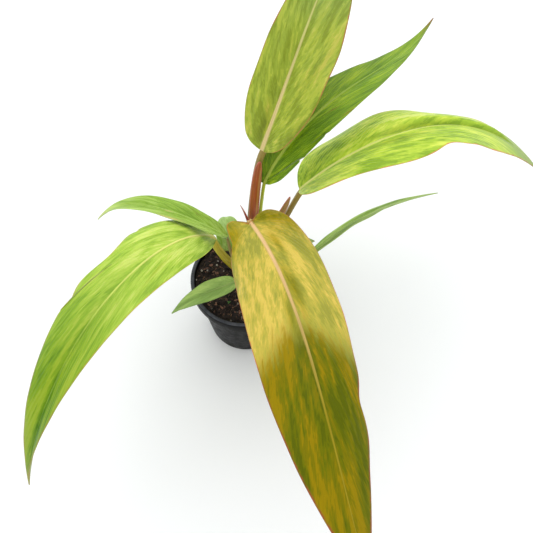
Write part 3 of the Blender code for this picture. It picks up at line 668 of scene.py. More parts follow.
def leafMaterial(name, look, length, seed):
    skin = leafSkin
    material, tree, shader = newMaterial(f"leaf.{name}", **{
        "Specular IOR Level": look["gloss"], "Subsurface Weight": skin["subsurface"],
        "Subsurface Radius": skin["subsurfaceRadius"], "Subsurface Scale": skin["subsurfaceScale"]})
    place = attribute(tree, "place", vector=True)
    along, side, out = split(tree, place)
    alongShare = calc(tree, "DIVIDE", along, length)
    vein = attribute(tree, "vein")
    veinPlace = flat(tree, vein, side)
    # mottling: patches whose ends are torn into fibres that run along the side veins
    fibre = grain(tree, veinPlace, mottling["fibre"], seed + 17, detail=1.0)
    shift = times(tree, minus(tree, fibre, 0.5), mottling["tear"])
    tornPlace = flat(tree, vein, plus(tree, side, shift))
    patches = grain(tree, tornPlace, mottling["patch"], seed, detail=3.0, roughness=0.55)
    broad = grain(tree, veinPlace, mottling["broad"], seed + 7, detail=1.0)
    streaks = grain(tree, tornPlace, mottling["streak"], seed + 13)
    hairs = grain(tree, veinPlace, mottling["hair"], seed + 19)
    level = 0.0
    for part, weight in zip((patches, broad, streaks), mottling["weights"]):
        level = plus(tree, times(tree, part, weight), level)
    colour = mottledColour(tree, level, look["colours"], look["levels"])
    # past its start along the blade the colour turns to the darker set: partly the leaf's own tone,
    # partly painted shade where the blade turns down from the light
    deepAndShade = 0.0
    if look["deepAndShadeFrom"]:
        fringe = times(tree, minus(tree, level, 0.5), mottling["fringe"])
        reach = minus(tree, plus(tree, alongShare, fringe), times(tree, out, mottling["outwards"]))
        deepAndShade = fade(tree, reach, *look["deepAndShadeFrom"])
        outward = times(tree, minus(tree, out, 0.45), mottling["brighterOut"])
        onward = times(tree, minus(tree, alongShare, 0.60), mottling["brighterOn"])
        deepLevel = plus(tree, level, plus(tree, outward, onward))
        deepAndShadedColour = mottledColour(tree, deepLevel, look["deepAndShadedColours"], look["levels"])
        colour = mixed(tree, deepAndShade, colour, deepAndShadedColour)
    colour = toned(tree, colour, fade(tree, hairs, 0.3, 0.7, 0.95, 1.05))
    colour = mixed(tree, 1.0, colour, (*look["tint"], 1), "MULTIPLY")
    # darker places, partly real dark patches and partly painted shade in grooves and valleys beside the
    # midrib; pale and dry places
    darkAndShade, pale, dry = split(tree, attribute(tree, "marks", vector=True))
    frayed = times(tree, darkAndShade, plus(tree, 0.55, times(tree, streaks, 0.9)))
    colour = mixed(tree, frayed, colour, (*mottling["darkAndShade"], 1), "MULTIPLY")
    colour = mixed(tree, pale, colour, shade(*mottling["pale"]))
    # lower face, margin and midrib
    below = fade(tree, attribute(tree, "under"), 0.6, 0.9, 0.0, 0.8)
    colour = mixed(tree, below, colour, shade(*look["under"]))
    wobble = fade(tree, grain(tree, place, (0.006, 0.006), seed + 5), 0.35, 0.65, 0.35, 1.3)
    edge = fade(tree, attribute(tree, "edgeDistance"), 0.0002, look["marginWidth"], 0.9, 0.0)
    # the margin is darkened inside the darker zone, so it carries that painted shade too
    marginTone = minus(tree, 1.0, times(tree, deepAndShade, 0.5))
    marginColour = toned(tree, shade(*look["margin"]), marginTone)
    colour = mixed(tree, times(tree, edge, wobble), colour, marginColour)
    ribColour = mixed(tree, fade(tree, alongShare, *skin["ribTones"]), shade(*look["rib"]),
                      shade(*look["ribTip"]))
    ribLines = grain(tree, place, (0.02, 0.0004), seed + 9)
    ribColour = toned(tree, ribColour, fade(tree, ribLines, 0.35, 0.65, 0.88, 1.06))
    ribRatio = calc(tree, "DIVIDE", calc(tree, "ABSOLUTE", side), attribute(tree, "ribHalf"))
    fadeStart, fadeEnd, left = look["ribFade"]
    ribMask = times(tree, fade(tree, ribRatio, *skin["ribEdge"], 1.0, 0.0),
                    fade(tree, alongShare, fadeStart, fadeEnd, 1.0, left))
    colour = mixed(tree, ribMask, colour, ribColour)
    colour = mixed(tree, dry, colour, shade(*mottling["dry"]))
    rough = fade(tree, hairs, 0.3, 0.7, look["roughness"] - 0.05, look["roughness"] + 0.07)
    tree.links.new(rough, shader.inputs["Roughness"])
    # finer veins, fibres and the skin's cells
    waves = calc(tree, "SINE", times(tree, vein, 2 * math.pi / skin["fineVein"]))
    cells = grain(tree, place, (skin["cell"], skin["cell"]), seed + 21, detail=1.0)
    relief = plus(tree, times(tree, waves, skin["veinShare"]), times(tree, hairs, skin["hairShare"]))
    relief = plus(tree, relief, times(tree, cells, skin["cellShare"]))
    finish(tree, shader, colour, relief, skin["reliefDepth"], 0.5)
    return material


for number, (name, form) in enumerate(leafForms.items()):
    look = {**plainLook, **leafLooks[leafUses[name]], **form["look"]}
    material = leafMaterial(name, look, form["length"], 3.7 * (number + 1))
    makeBlade(name, form, material, 20 + number)
print("blades made:", len(leafForms))


# stalks

crown = dict(place=(0.0050, 0.0040), radius=0.0080, foot=0.0450, top=0.1140)
# the rings under the blade run on below the midrib and shrink into it; crownInset and shoulder say
# how far a stalk's foot lies in the crown's side, and in its top (down, in)
stalkBuild = dict(rings=56, sides=18, taperShare=0.67, flare=1.35, flareLength=0.10,
                  underBlade=0.009, underStart=0.0010, underRings=8, underShrink=0.45,
                  topFlatten=0.18, flattenHalf=0.55, widen=1.06, crownInset=0.3,
                  shoulder=(0.001, 0.0007), bladeInset=0.75)
stalkLooks = {
    "front": ((150, 136, 70), (176, 140, 84)), "top": ((120, 104, 26), (140, 118, 44)),
    "rear": ((170, 182, 32), (184, 198, 56)), "right": ((116, 92, 8), (140, 118, 32)),
    "side": ((112, 124, 40), (120, 140, 60)), "left": ((164, 148, 12), (222, 206, 76)),
    "upper_left": ((140, 120, 60), (150, 140, 70)), "inner_left": ((120, 136, 50), (130, 150, 60)),
    "low_front": ((110, 122, 50), (110, 130, 60)), "inner_right": ((110, 124, 50), (112, 132, 60)),
}


def sweepPlace(tree):
    # length along, place around and share of the length, and a flat place made of the first two
    along, around, share = split(tree, attribute(tree, "sweep", vector=True))
    return along, around, share, flat(tree, around, along)


def stemMaterial(name, low, high, streak=(0.0005, 0.016), contrast=0.16, roughness=0.42):
    # smooth young stem: low at its foot, high at its top, with fine lines and pale flecks
    material, tree, shader = newMaterial(name, roughness)
    _, _, share, place = sweepPlace(tree)
    lines = grain(tree, place, streak, 2.0, detail=3.0)
    flecks = grain(tree, place, (0.0008, 0.0022), 5.0)
    blotches = grain(tree, place, (0.005, 0.020), 9.0)
    colour = mixed(tree, fade(tree, share, 0.3, 1.0), shade(*low), shade(*high))
    colour = mixed(tree, fade(tree, blotches, 0.40, 0.68, 0.0, 0.55), colour, shade(*high))
    colour = toned(tree, colour, fade(tree, lines, 0.3, 0.7, 1 - contrast, 1 + contrast))
    colour = mixed(tree, fade(tree, flecks, 0.66, 0.74, 0.0, 0.35), colour, shade(214, 204, 130))
    finish(tree, shader, colour, lines, 0.00015, 0.5)
    return material


def direction(pitch, heading):
    pitch, heading = math.radians(pitch), math.radians(heading)
    level = math.cos(pitch)
    return np.array([level * math.cos(heading), level * math.sin(heading), math.sin(pitch)])


def underMidrib(form):
    # how far below a blade's upper side its stalk's middle lies
    return max(bladeBuild["ribThickness"] / 2, stalkBuild["bladeInset"] * form["stalk"]["radii"][1])


def stalkPath(form):
    # control points from inside the crown to a little under the blade's base
    stalk = form["stalk"]
    outward = direction(0, stalk["angle"])
    thick, thin = stalk["radii"]
    down, inward = stalkBuild["shoulder"]
    if stalk["height"] < crown["top"]:
        height, reach = stalk["height"], crown["radius"] - stalkBuild["crownInset"] * thick
    else:
        height, reach = crown["top"] - down, crown["radius"] - thick - inward
    start = np.array([*crown["place"], height]) + outward * reach
    tangent, _, up = (vectors[0] for vectors in leafFrame(form, np.array([0.0])))
    arrive = direction(*stalk["arrive"]) if "arrive" in stalk else tangent
    inset = thin * np.linalg.norm(np.cross(arrive, tangent))
    end = np.array(form["base"]) + tangent * inset - up * underMidrib(form)
    leaving = direction(stalk["rise"], stalk["angle"])
    return start, start + leaving * stalk["reach"][0], end - arrive * stalk["reach"][1], end


def makeStalk(name, form):
    make = stalkBuild
    path = stalkPath(form)
    # the last rings run on below the midrib and thin out into it
    spine = leafSpine(form)
    frames = leafFrame(form, np.linspace(0, 1, len(spine)))
    step = form["length"] / bladeBuild["spineSteps"]
    passed = np.linalg.norm(np.array(path[3]) - spine[0]) + make["underStart"]
    picks = np.linspace(passed, passed + make["underBlade"], make["underRings"]) / step
    picks = picks.astype(int) + 1
    sink = np.linspace(underMidrib(form), bladeBuild["ribThickness"] / 2, len(picks))
    under = spine[picks] - frames[2][picks] * sink[:, None]
    centres = np.vstack([bezier(path, make["rings"]), under])
    share = np.linspace(0, 1, make["rings"])
    thick, thin = form["stalk"]["radii"]
    radii = thick + (thin - thick) * np.clip(share / make["taperShare"], 0, 1)
    radii = radii * (1 + (make["flare"] - 1) * hill(share, 0, make["flareLength"]))
    radii = np.concatenate([radii, thin * np.linspace(1, make["underShrink"], len(picks))])
    _, side, up = sweepFrames(centres, frames[2][0])
    around = circle(make["sides"])
    section = roundSection(around) * (make["widen"], 1.0)
    section[:, 1] *= 1 - make["topFlatten"] * hill(around, math.pi / 2, make["flattenHalf"])
    vertices, faces = loft(tube(centres, side, up, radii, section))
    material = stemMaterial(f"stalk.{name}", *stalkLooks[name])
    piece = addPiece(f"leafStalk.{name}", vertices, faces, material, f"stalk_{name}", "stalk_olive")
    lengths = runLengths(centres)
    tagSweep(piece, lengths, np.abs(around - math.pi) * thick, lengths / lengths[-1])


for name, form in leafForms.items():
    makeStalk(name, form)
print("stalks made")


# sheaths

# width and depth are the half width and how far the scale bulges; shape is its width along the path
sheaths = {
    "sheath_top": dict(
        path=((0.0046, 0.0014, 0.1146), (0.0107, 0.0138, 0.1467), (0.0100, 0.0232, 0.1923),
              (0.0159, 0.0318, 0.2185)),
        halfWidth=0.0041, depth=0.0028, facing=(-0.05, -0.95, 0.25),
        shape=((0, 0.75), (0.15, 0.98), (0.5, 1.0), (0.8, 0.93), (0.93, 0.70), (0.985, 0.36), (1, 0.06)),
        low=(142, 66, 8), high=(156, 72, 12), edge=(180, 88, 74), keel=(166, 116, 44)),
    "sheath_right": dict(
        path=((0.0111, 0.0101, 0.1060), (0.0146, 0.0189, 0.1219), (0.0307, 0.0233, 0.1441),
              (0.0411, 0.0343, 0.1694)),
        halfWidth=0.0034, depth=0.0016, facing=(0.25, -0.60, 0.75),
        shape=((0, 0.8), (0.3, 1.0), (0.7, 0.92), (0.9, 0.66), (0.98, 0.34), (1, 0.06)),
        low=(152, 118, 54), high=(158, 110, 54), edge=(190, 92, 84), keel=(172, 140, 70)),
    "sheath_dry": dict(
        path=((0.0035, -0.0020, 0.1145), (0.0150, 0.0009, 0.1380), (0.0070, 0.0084, 0.1760),
              (-0.0008, 0.0188, 0.1800)),
        halfWidth=0.0014, depth=0.0008, facing=(0.0, -0.90, 0.40),
        shape=((0, 0.9), (0.5, 1.0), (0.75, 0.75), (0.9, 0.40), (1, 0.08)),
        low=(140, 50, 26), high=(226, 202, 178), edge=(160, 70, 44), keel=(170, 80, 50)),
}
# sink sets the bulge back towards the path, as a share of its depth; the rim thins to thinnest
sheathBuild = dict(rings=64, sides=15, thickness=0.0006, ribs=5, ribHeight=0.00010, sink=0.45,
                   rimThin=1.15, thinnest=0.25)


def sheathMaterial(name, look):
    # papery scale: fine lengthwise ribs, a paler keel to one side and a pink rim
    material, tree, shader = newMaterial(name, 0.5)
    along, around, _, place = sweepPlace(tree)
    lines = grain(tree, place, (0.00035, 0.030), 4.0, detail=3.0)
    blotches = grain(tree, place, (0.003, 0.014), 6.0, detail=3.0)
    # the dry scale is pale at its tip, and the others are blotched all over
    part = fade(tree, along, 0.80, 1.0) if name == "sheath_dry" else fade(tree, blotches, 0.35, 0.7)
    colour = mixed(tree, part, shade(*look["low"]), shade(*look["high"]))
    half = look["halfWidth"]
    keel = times(tree, fade(tree, around, 0.25 * half, 0.45 * half),
                 fade(tree, around, 0.60 * half, 0.85 * half, 1.0, 0.0))
    colour = mixed(tree, times(tree, keel, 0.75), colour, shade(*look["keel"]))
    colour = toned(tree, colour, fade(tree, lines, 0.3, 0.7, 0.82, 1.16))
    rim = fade(tree, attribute(tree, "edgeDistance"), 0.0, 0.0009, 0.85, 0.0)
    colour = mixed(tree, rim, colour, shade(*look["edge"]))
    finish(tree, shader, colour, lines, 0.0002, 0.7)
    return material


def makeSheath(name, look):
    make = sheathBuild
    centres = bezier(look["path"], make["rings"])
    share = np.linspace(0, 1, make["rings"])
    along = unit(np.gradient(centres, axis=0))
    across = unit(np.cross(along, np.array(look["facing"])))
    depth = np.cross(along, across)
    if (depth @ np.array(look["facing"])).sum() < 0:
        depth = -depth
    places, widths = zip(*look["shape"])
    width = np.interp(share, places, widths)[:, None]
    bulge = np.sqrt(width) * look["depth"]
    width = width * look["halfWidth"]
    out = np.linspace(-1, 1, make["sides"])
    ridge = make["ribHeight"] * np.cos(out * math.pi * make["ribs"])
    rise = bulge * (1 - out ** 2) - look["depth"] * make["sink"]
    outer = (centres[:, None, :] + across[:, None, :] * (width * out)[..., None]
             + depth[:, None, :] * (rise + ridge)[..., None])
    thin = make["thickness"] * np.clip(make["rimThin"] - out ** 2, make["thinnest"], 1)
    inner = outer - depth[:, None, :] * thin[None, :, None]
    vertices, faces = loft(np.concatenate([outer, inner[:, ::-1]], axis=1))
    piece = addPiece(f"sheath.{name}", vertices, faces, sheathMaterial(name, look), name, "sheath_red")
    lengths = runLengths(centres)
    columns = np.concatenate([out, out[::-1]])
    tagSweep(piece, share if name == "sheath_dry" else lengths, width * columns, share)
    rim = np.minimum(width * (1 - np.abs(columns)), (lengths[-1] - lengths)[:, None]).ravel()
    tag(piece, "edgeDistance", withTips(rim))


for name, look in sheaths.items():
    makeSheath(name, look)
print("sheaths made")


# crown

# dome is how far below the top the crown rounds in, over what height and by how much; taper is how
# narrow its foot starts and the height over which it widens; its colours run from the height low up
crownBuild = dict(rings=90, sides=48, overTop=0.0012, dome=(0.004, 0.0052, 0.93), taper=(0.55, 0.006),
                  scars=(0.083, 0.089, 0.095, 0.100, 0.105, 0.110), scarDepth=0.0005,
                  scarHalf=0.0006, lumps=0.00035, lumpSize=0.009, inset=0.0002, low=0.078,
                  colours=((104, 84, 40), (128, 136, 52)))


def makeCrown():
    make = crownBuild
    foot, top, widest = crown["foot"], crown["top"], crown["radius"]
    heights = np.linspace(foot, top + make["overTop"], make["rings"])
    around = circle(make["sides"])
    below, over, shrink = make["dome"]
    narrow, rise = make["taper"]
    radius = widest * np.sqrt(1 - shrink * np.clip((heights - (top - below)) / over, 0, 1) ** 2)
    radius *= np.clip(narrow + (heights - foot) / rise, narrow, 1)
    for scar in make["scars"]:
        radius -= make["scarDepth"] * hill(heights, scar, make["scarHalf"])
    lumps = make["lumps"] * ripples(5, heights[:, None], around * widest, make["lumpSize"])
    reach = np.minimum(radius[:, None] + lumps - make["inset"], widest)
    vertices, faces = loft(levelRings(reach, heights[:, None], around, *crown["place"]))
    material = stemMaterial("crownSkin", *make["colours"], (0.0007, 0.006), 0.22, 0.5)
    piece = addPiece("plantCrown", vertices, faces, material, "crown", "crown_green")
    share = np.clip((heights - make["low"]) / (top - make["low"]), 0, 1)
    tagSweep(piece, heights, np.abs(around - math.pi) * widest, share)


makeCrown()
print("crown made")


# pot

pot = dict(rimRadius=0.050, height=0.090, wall=0.0012, lip=0.0010, skirtDepth=0.0095,
           skirtGap=0.0012, shoulderHeight=0.068, shoulderStep=0.0014, topInner=0.0462,
           baseRadius=0.0378, foot=(0.0310, 0.0350), pad=0.0130, gutter=0.0030, holes=8,
           holeRadius=0.0035, holeCircle=0.0220, holeSides=40, sides=160, rounding=0.0009,
           roundingSteps=3, cornerShare=0.45, rimHighlightBand=0.0002, sharpAngle=32)


def innerRadius(height):
    low = pot["baseRadius"] - pot["wall"]
    below = pot["topInner"] - 2.0 * pot["shoulderStep"]
    above = pot["topInner"] - 0.5 * pot["shoulderStep"]
    if height <= pot["shoulderHeight"]:
        return low + (below - low) * height / pot["shoulderHeight"]
    share = (height - pot["shoulderHeight"]) / (pot["height"] - pot["shoulderHeight"])
    return above + (pot["topInner"] - above) * share


def roundedProfile(corners):
    # cuts each corner of a profile with a short arc
    points = [corners[0]]
    for before, corner, after in zip(corners, corners[1:], corners[2:]):
        b = Vector(corner)
        back, on = Vector(before) - b, Vector(after) - b
        size = min(pot["rounding"], back.length * pot["cornerShare"], on.length * pot["cornerShare"])
        start, end = b + back.normalized() * size, b + on.normalized() * size
        for t in np.linspace(0, 1, pot["roundingSteps"] + 1):
            points.append(tuple(start * (1 - t) ** 2 + b * 2 * t * (1 - t) + end * t * t))
    return points + [corners[-1]]


def turned(profile, sides):
    # skin of a profile turned about the pot's axis; both its ends are on the axis
    inner = np.array(profile[1:-1])
    tips = [(0, 0, height) for _, height in (profile[0], profile[-1])]
    return loft(levelRings(inner[:, :1], inner[:, 1:], circle(sides)), tips)


def plasticMaterial():
    material, tree, shader = newMaterial("blackPlastic", 0.34, **{"Specular IOR Level": 0.04})
    place = objectPlace(tree)
    dust = grain(tree, place, 0.006, 1.0, detail=5.0, roughness=0.7)
    pebble = grain(tree, place, 0.0006, 2.0)
    scuffs = grain(tree, place, (0.0012, 0.0012, 0.014), 3.0, detail=3.0)
    colour = mixed(tree, fade(tree, dust, 0.42, 0.75, 0.0, 0.5), shade(5, 4, 4), shade(16, 13, 12))
    colour = mixed(tree, fade(tree, scuffs, 0.64, 0.74, 0.0, 0.22), colour, shade(58, 56, 55))
    # the rim's top is painted light grey, broken up by the dust: a painted highlight of the light along
    # the rim
    height = pot["height"]
    atRim = fade(tree, split(tree, place)[2], height - pot["wall"], height - pot["rimHighlightBand"])
    rimHighlight = times(tree, atRim, fade(tree, dust, 0.3, 0.7, 0.55, 1.0))
    colour = mixed(tree, rimHighlight, colour, shade(92, 94, 100))
    tree.links.new(fade(tree, dust, 0.3, 0.7, 0.32, 0.50), shader.inputs["Roughness"])
    finish(tree, shader, colour, pebble, 0.00008, 0.5)
    return material


def applyModifiers(piece):
    bpy.context.view_layer.update()
    evaluated = piece.evaluated_get(bpy.context.evaluated_depsgraph_get())
    mesh = bpy.data.meshes.new_from_object(evaluated)
    piece.modifiers.clear()
    piece.data = mesh


def smoothByAngle(piece, degrees):
    # smooth faces with sharp edges where the surface turns more than that
    mesh = bmesh.new()
    mesh.from_mesh(piece.data)
    for edge in mesh.edges:
        edge.smooth = len(edge.link_faces) == 2 and edge.calc_face_angle(0) < math.radians(degrees)
    for face in mesh.faces:
        face.smooth = True
    mesh.to_mesh(piece.data)
    mesh.free()


def makePot():
    wall, lip, gutter, height = pot["wall"], pot["lip"], pot["gutter"], pot["height"]
    shoulder, rim, topInner = pot["shoulderHeight"], pot["rimRadius"], pot["topInner"]
    floor = gutter + wall
    shoulderTop = shoulder + pot["shoulderStep"]
    skirtBottom, skirtInner = height - pot["skirtDepth"], rim - wall
    foldHeight = height - 2 * wall
    footInner, footOuter = pot["foot"]
    corners = [
        (0, floor), (innerRadius(floor) - lip, floor), (innerRadius(floor + lip), floor + lip),
        (innerRadius(shoulder), shoulder), (innerRadius(shoulderTop), shoulderTop),
        (topInner, height - lip), (topInner + lip, height), (rim - lip, height), (rim, height - lip),
        (rim, skirtBottom), (skirtInner, skirtBottom), (skirtInner, foldHeight),
        (skirtInner - pot["skirtGap"], foldHeight), (innerRadius(shoulderTop) + wall, shoulderTop),
        (innerRadius(shoulder) + wall, shoulder), (pot["baseRadius"], 2 * lip), (footOuter, 0),
        (footInner, 0), (footInner - lip, gutter), (pot["pad"] + lip, gutter), (pot["pad"], 0), (0, 0)]
    vertices, faces = turned(roundedProfile(corners), pot["sides"])
    piece = addPiece("nurseryPot", vertices, faces, plasticMaterial(), "pot", "black_plastic")
    drill = bmesh.new()
    radius, far = pot["holeRadius"], pot["holeCircle"]
    for i in range(pot["holes"]):
        angle = 2 * math.pi * (i + 0.5) / pot["holes"]
        bit = bmesh.ops.create_cone(drill, cap_ends=True, segments=pot["holeSides"], radius1=radius,
                                    radius2=radius, depth=4 * floor)
        place = (far * math.cos(angle), far * math.sin(angle), floor / 2)
        bmesh.ops.translate(drill, verts=bit["verts"], vec=place)
    mesh = bpy.data.meshes.new("drill")
    drill.to_mesh(mesh)
    drill.free()
    cutter = linkObject("drill", mesh)
    boolean = piece.modifiers.new("drainHoles", "BOOLEAN")
    boolean.object = cutter
    boolean.solver = "EXACT"
    applyModifiers(piece)
    bpy.data.objects.remove(cutter, do_unlink=True)
    smoothByAngle(piece, pot["sharpAngle"])


makePot()
print("pot made")


# potting mix

# relief is the size, height and shift of its lumps, crumbs and grit
mix = dict(top=0.0850, dish=0.0045, gap=0.0003, crownGap=0.0001, bevel=0.0012, rings=110, sides=300,
           relief=((0.0090, 0.0020, (0, 0, 0)), (0.0028, 0.0010, (3, 1, 7)),
                   (0.0011, 0.0005, (8, 2, 5))),
           wallFade=0.06, seed=11)
# a piece's sizes are from its middle outwards; a chip's width and height are shares of its length;
# push and waves make each piece angular, and clearance is what it keeps from the wall and the crown
chip = dict(count=1500, redCount=260, length=(0.0009, 0.0030), width=(0.25, 0.6), height=(0.12, 0.3),
            push=0.5, waves=1.3, clearance=1.2)
pumice = dict(count=40, size=(0.0006, 0.0013), form=(1.0, 0.85, 0.8))
fibre = dict(count=70, points=9, shortest=4, step=0.0013, bend=0.5, radius=(0.00010, 0.00022),
             sides=6, taper=0.4, lift=0.0003, wallGap=0.0015, clearance=0.003)


def mixHeight(x, y):
    # height of the potting mix, lumpy and crumbly, hollowed towards the middle
    share = min(1.0, math.hypot(x, y) / innerRadius(mix["top"]))
    place = Vector((x, y, 0))
    relief = sum(height * noise.noise(place / size + Vector(shift))
                 for size, height, shift in mix["relief"])
    calm = min(1.0, (1 - share) / mix["wallFade"])
    return mix["top"] - mix["dish"] * (1 - share ** 2) + relief * calm


def mixMaterial():
    material, tree, shader = newMaterial("pottingMix", 0.9)
    place = objectPlace(tree)
    crumbs = grain(tree, place, 0.0018, 1.0, detail=5.0, roughness=0.7)
    patches = grain(tree, place, 0.009, 4.0)
    colour = ramp(tree, crumbs, ((0.34, shade(10, 6, 4)), (0.50, shade(26, 16, 11)),
                                 (0.62, shade(52, 34, 24)), (0.74, shade(98, 70, 52))))
    colour = mixed(tree, fade(tree, patches, 0.4, 0.65, 0.0, 0.5), colour, shade(16, 10, 8))
    finish(tree, shader, colour, crumbs, 0.0008, 0.9)
    return material


def barkMaterial(name, dark, light):
    material, tree, shader = newMaterial(name, 0.8)
    place = objectPlace(tree)
    layers = grain(tree, place, (0.0030, 0.0007, 0.0012), 3.0, detail=4.0, roughness=0.65)
    tints = grain(tree, place, 0.006, 8.0, detail=1.0)
    colour = mixed(tree, fade(tree, layers, 0.35, 0.68), shade(*dark), shade(*light))
    colour = toned(tree, colour, fade(tree, tints, 0.3, 0.7, 0.55, 1.35))
    finish(tree, shader, colour, layers, 0.0005, 0.8)
    return material


def makeMix():
    gap, bevel, shoulder = mix["gap"], mix["bevel"], pot["shoulderHeight"]
    around = circle(mix["sides"])
    hole = crown["radius"] + mix["crownGap"]
    inner = levelRings(hole, crown["foot"] - gap, around, *crown["place"])
    outer = levelRings(innerRadius(mix["top"]) - gap, 0.0, around)
    rings = [inner]
    for t in np.linspace(0, 1, mix["rings"]):  # from the crown's hole out to the pot's wall
        ring = inner * (1 - t) + outer * t
        ring[:, 2] = [mixHeight(x, y) for x, y, _ in ring]
        rings.append(ring)
    bottom = pot["gutter"] + pot["wall"] + gap
    for height in (shoulder + pot["shoulderStep"], shoulder, bottom + bevel):
        rings.append(levelRings(innerRadius(height) - gap, height, around))
    radius = innerRadius(bottom) - bevel - gap
    rings += [levelRings(radius, bottom, around), levelRings(radius / 2, bottom, around)]
    vertices, faces = loft(np.array(rings))
    faces = [tuple(reversed(face)) for face in faces]
    addPiece("mixSurface", vertices, faces, mixMaterial(), "soil", "potting_mix")


def crumbMesh(rng, sizes):
    # angular lump: an icosphere with its points pushed in and out
    lump = bmesh.new()
    bmesh.ops.create_icosphere(lump, subdivisions=1, radius=1)
    shift = Vector(rng.uniform(-50, 50, 3))
    for vertex in lump.verts:
        vertex.co *= 1 + chip["push"] * noise.noise(vertex.co * chip["waves"] + shift)
    points = np.array([vertex.co for vertex in lump.verts]) * sizes
    faces = [[vertex.index for vertex in face.verts] for face in lump.faces]
    lump.free()
    return points, faces


def rotation(axis, angle):
    c, s = math.cos(angle), math.sin(angle)
    if axis == "X":
        return np.array([[1, 0, 0], [0, c, -s], [0, s, c]])
    return np.array([[c, -s, 0], [s, c, 0], [0, 0, 1]])


def randomTurn(rng, tilt):
    # a random turn, tipped by up to tilt towards a random side
    turn, lean = rng.uniform(0, 2 * math.pi), rng.uniform(-tilt, tilt)
    way = rng.uniform(0, 2 * math.pi)
    return rotation("Z", turn) @ rotation("X", lean) @ rotation("Z", way)


def freeSpot(rng, margin):
    # a place on the mix, clear of the pot's wall and of the crown
    x0, y0 = crown["place"]
    while True:
        radius = (innerRadius(mix["top"]) - margin) * math.sqrt(rng.uniform(0, 1))
        angle = rng.uniform(0, 2 * math.pi)
        x, y = radius * math.cos(angle), radius * math.sin(angle)
        if math.hypot(x - x0, y - y0) > crown["radius"] + margin:
            return x, y


def scatter(name, count, seed, sizing, tilt, rise, colours):
    # angular pieces strewn on the mix; rise is how high the middle of each lies over it, as a share
    # of its half height
    rng = np.random.default_rng(seed)
    blocks = []
    for _ in range(count):
        sizes = sizing(rng)
        points, skin = crumbMesh(rng, sizes)
        x, y = freeSpot(rng, chip["clearance"] * max(sizes))
        place = (x, y, mixHeight(x, y) + sizes[2] * rise)
        blocks.append((points @ randomTurn(rng, tilt).T + place, skin))
    addPiece(name, *joined(blocks), barkMaterial(*colours), slot="potting_mix", smooth=False)


def chipSizes(rng):
    length = rng.uniform(*chip["length"])
    width, height = length * rng.uniform(*chip["width"]), length * rng.uniform(*chip["height"])
    return np.array([length, width, height])


def pumiceSizes(rng):
    return rng.uniform(*pumice["size"]) * np.array(pumice["form"])


def makeFibres():
    # coir fibres and rootlets that lie over the mix
    rng = np.random.default_rng(mix["seed"] + 5)
    section = roundSection(circle(fibre["sides"]))
    blocks = []
    for _ in range(fibre["count"]):
        x, y = freeSpot(rng, fibre["clearance"])
        heading = rng.uniform(0, 2 * math.pi)
        points = []
        for _ in range(fibre["points"]):
            if math.hypot(x, y) > innerRadius(mix["top"]) - fibre["wallGap"]:
                break
            points.append((x, y, mixHeight(x, y) + fibre["lift"]))
            heading += rng.uniform(-fibre["bend"], fibre["bend"])
            x += fibre["step"] * math.cos(heading)
            y += fibre["step"] * math.sin(heading)
        if len(points) < fibre["shortest"]:
            continue
        centres = np.array(points)
        _, side, up = sweepFrames(centres, (0.1, 0.1, 1))
        radii = rng.uniform(*fibre["radius"]) * np.linspace(1, fibre["taper"], len(points))
        blocks.append(loft(tube(centres, side, up, radii, section)))
    addPiece("coirFibres", *joined(blocks), barkMaterial("coir", (112, 84, 54), (176, 148, 108)),
             slot="potting_mix")


makeMix()
scatter("barkChips", chip["count"], mix["seed"], chipSizes, 0.7, 0.35,
        ("darkBark", (18, 11, 8), (58, 39, 28)))
scatter("redBarkChips", chip["redCount"], mix["seed"] + 1, chipSizes, 0.6, 0.6,
        ("redBark", (60, 36, 25), (160, 116, 94)))
scatter("pumiceGrains", pumice["count"], mix["seed"] + 2, pumiceSizes, 1.5, 0.5,
        ("pumice", (118, 112, 102), (176, 168, 156)))
makeFibres()
print("potting mix made")


# seedling in the mix

seedling = dict(place=(-0.0138, -0.0231), stemRadius=0.00022, leafLength=0.0019, leafWidth=0.0012,
                stem=((0, 0, -0.0008), (0.0003, 0, 0.001), (0.0002, -0.0002, 0.0022)),
                leafRounding=0.8, leafTip=0.00005, leafArch=0.0006, leafThickness=0.00024,
                leafTurns=(0.5, 2.6, 4.4))


def makeSeedling():
    make = seedling
    x, y = make["place"]
    stem = np.array(make["stem"]) + (x, y, mixHeight(x, y))
    _, side, up = sweepFrames(stem, (0, 1, 0.2))
    radii = np.full(len(stem), make["stemRadius"])
    blocks = [loft(tube(stem, side, up, radii, roundSection(circle(8))))]
    # its leaves are three turns of one
    t = np.linspace(0, 1, 9)[:, None]
    around = circle(10)
    half = make["leafWidth"] / 2 * np.sin(math.pi * t ** make["leafRounding"]) + make["leafTip"]
    height = make["leafArch"] * np.sin(2 * t) + make["leafThickness"] / 2 * np.sin(around)
    reach = np.broadcast_to(t * make["leafLength"], height.shape)
    points, skin = loft(np.stack([reach, half * np.cos(around), height], -1))
    blocks += [(points @ rotation("Z", turn).T + stem[-1], skin) for turn in make["leafTurns"]]
    material, tree, shader = newMaterial("seedlingSkin", 0.45)
    spots = grain(tree, objectPlace(tree), 0.0008, 2.0)
    finish(tree, shader, mixed(tree, spots, shade(56, 104, 40), shade(96, 146, 62)))
    addPiece("seedling", *joined(blocks), material, slot="leaf_green")


makeSeedling()
print("seedling made")


# floor, lights and camera

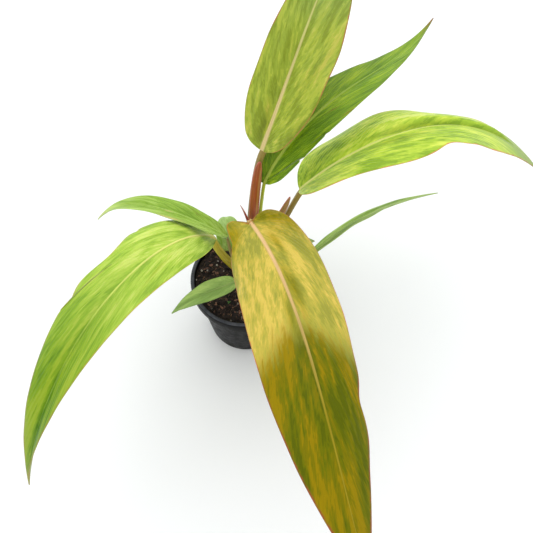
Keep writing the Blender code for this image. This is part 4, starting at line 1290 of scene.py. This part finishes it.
stage = dict(floorSize=8.0, floorColours=((248, 248, 247), (245, 245, 244)), skyStrength=1.0,
             skyColour=(0.95, 0.975, 1.0), aim=(0.03, 0.0, 0.15))
# each light's place, width, height and power
lights = {"skyWindow": ((0.0, 1.55, 2.75), 4.6, 2.8, 42),
          "sideFill": ((-1.6, -0.9, 1.9), 1.4, 1.4, 5)}
# the photograph's camera: 61 degrees down, solved from the pot's rim
view = dict(place=(0.02098, -0.26286, 0.58449), down=61, focalPixels=600, imagePixels=533, sensor=36)


def makeFloor():
    size = stage["floorSize"] / 2
    mesh = bpy.data.meshes.new("floor")
    corners = [(-size, -size, 0), (size, -size, 0), (size, size, 0), (-size, size, 0)]
    mesh.from_pydata(corners, [], [(0, 1, 2, 3)])
    material, tree, shader = newMaterial("paleFloor", 0.7)
    clouds = grain(tree, objectPlace(tree), 0.4, 1.0)
    first, second = (shade(*colour) for colour in stage["floorColours"])
    finish(tree, shader, mixed(tree, fade(tree, clouds, 0.3, 0.7, 0.0, 0.3), first, second))
    mesh.materials.append(material)
    floor = linkObject("floor", mesh)


def addPanel(name, place, width, height, power):
    # soft rectangular light at place that faces the plant
    light = bpy.data.lights.new(name, "AREA")
    light.shape = "RECTANGLE"
    light.size = width
    light.size_y = height
    light.energy = power
    item = linkObject(name, light)
    item.location = place
    item.rotation_euler = (Vector(stage["aim"]) - Vector(place)).to_track_quat("-Z", "Y").to_euler()


def makeCamera():
    data = bpy.data.cameras.new("camera")
    data.sensor_width = view["sensor"]
    data.lens = view["sensor"] * view["focalPixels"] / view["imagePixels"]
    data.clip_start = 0.01
    camera = linkObject("camera", data)
    camera.location = view["place"]
    camera.rotation_euler = (math.radians(90 - view["down"]), 0, 0)
    bpy.context.scene.camera = camera


makeFloor()
for name, settings in lights.items():
    addPanel(name, *settings)
world = bpy.data.worlds.new("studio")
world.use_nodes = True
background = world.node_tree.nodes["Background"]
background.inputs["Color"].default_value = (*stage["skyColour"], 1)
background.inputs["Strength"].default_value = stage["skyStrength"]
bpy.context.scene.world = world
bpy.context.scene.view_settings.view_transform = "Standard"
makeCamera()
print("stage ready")
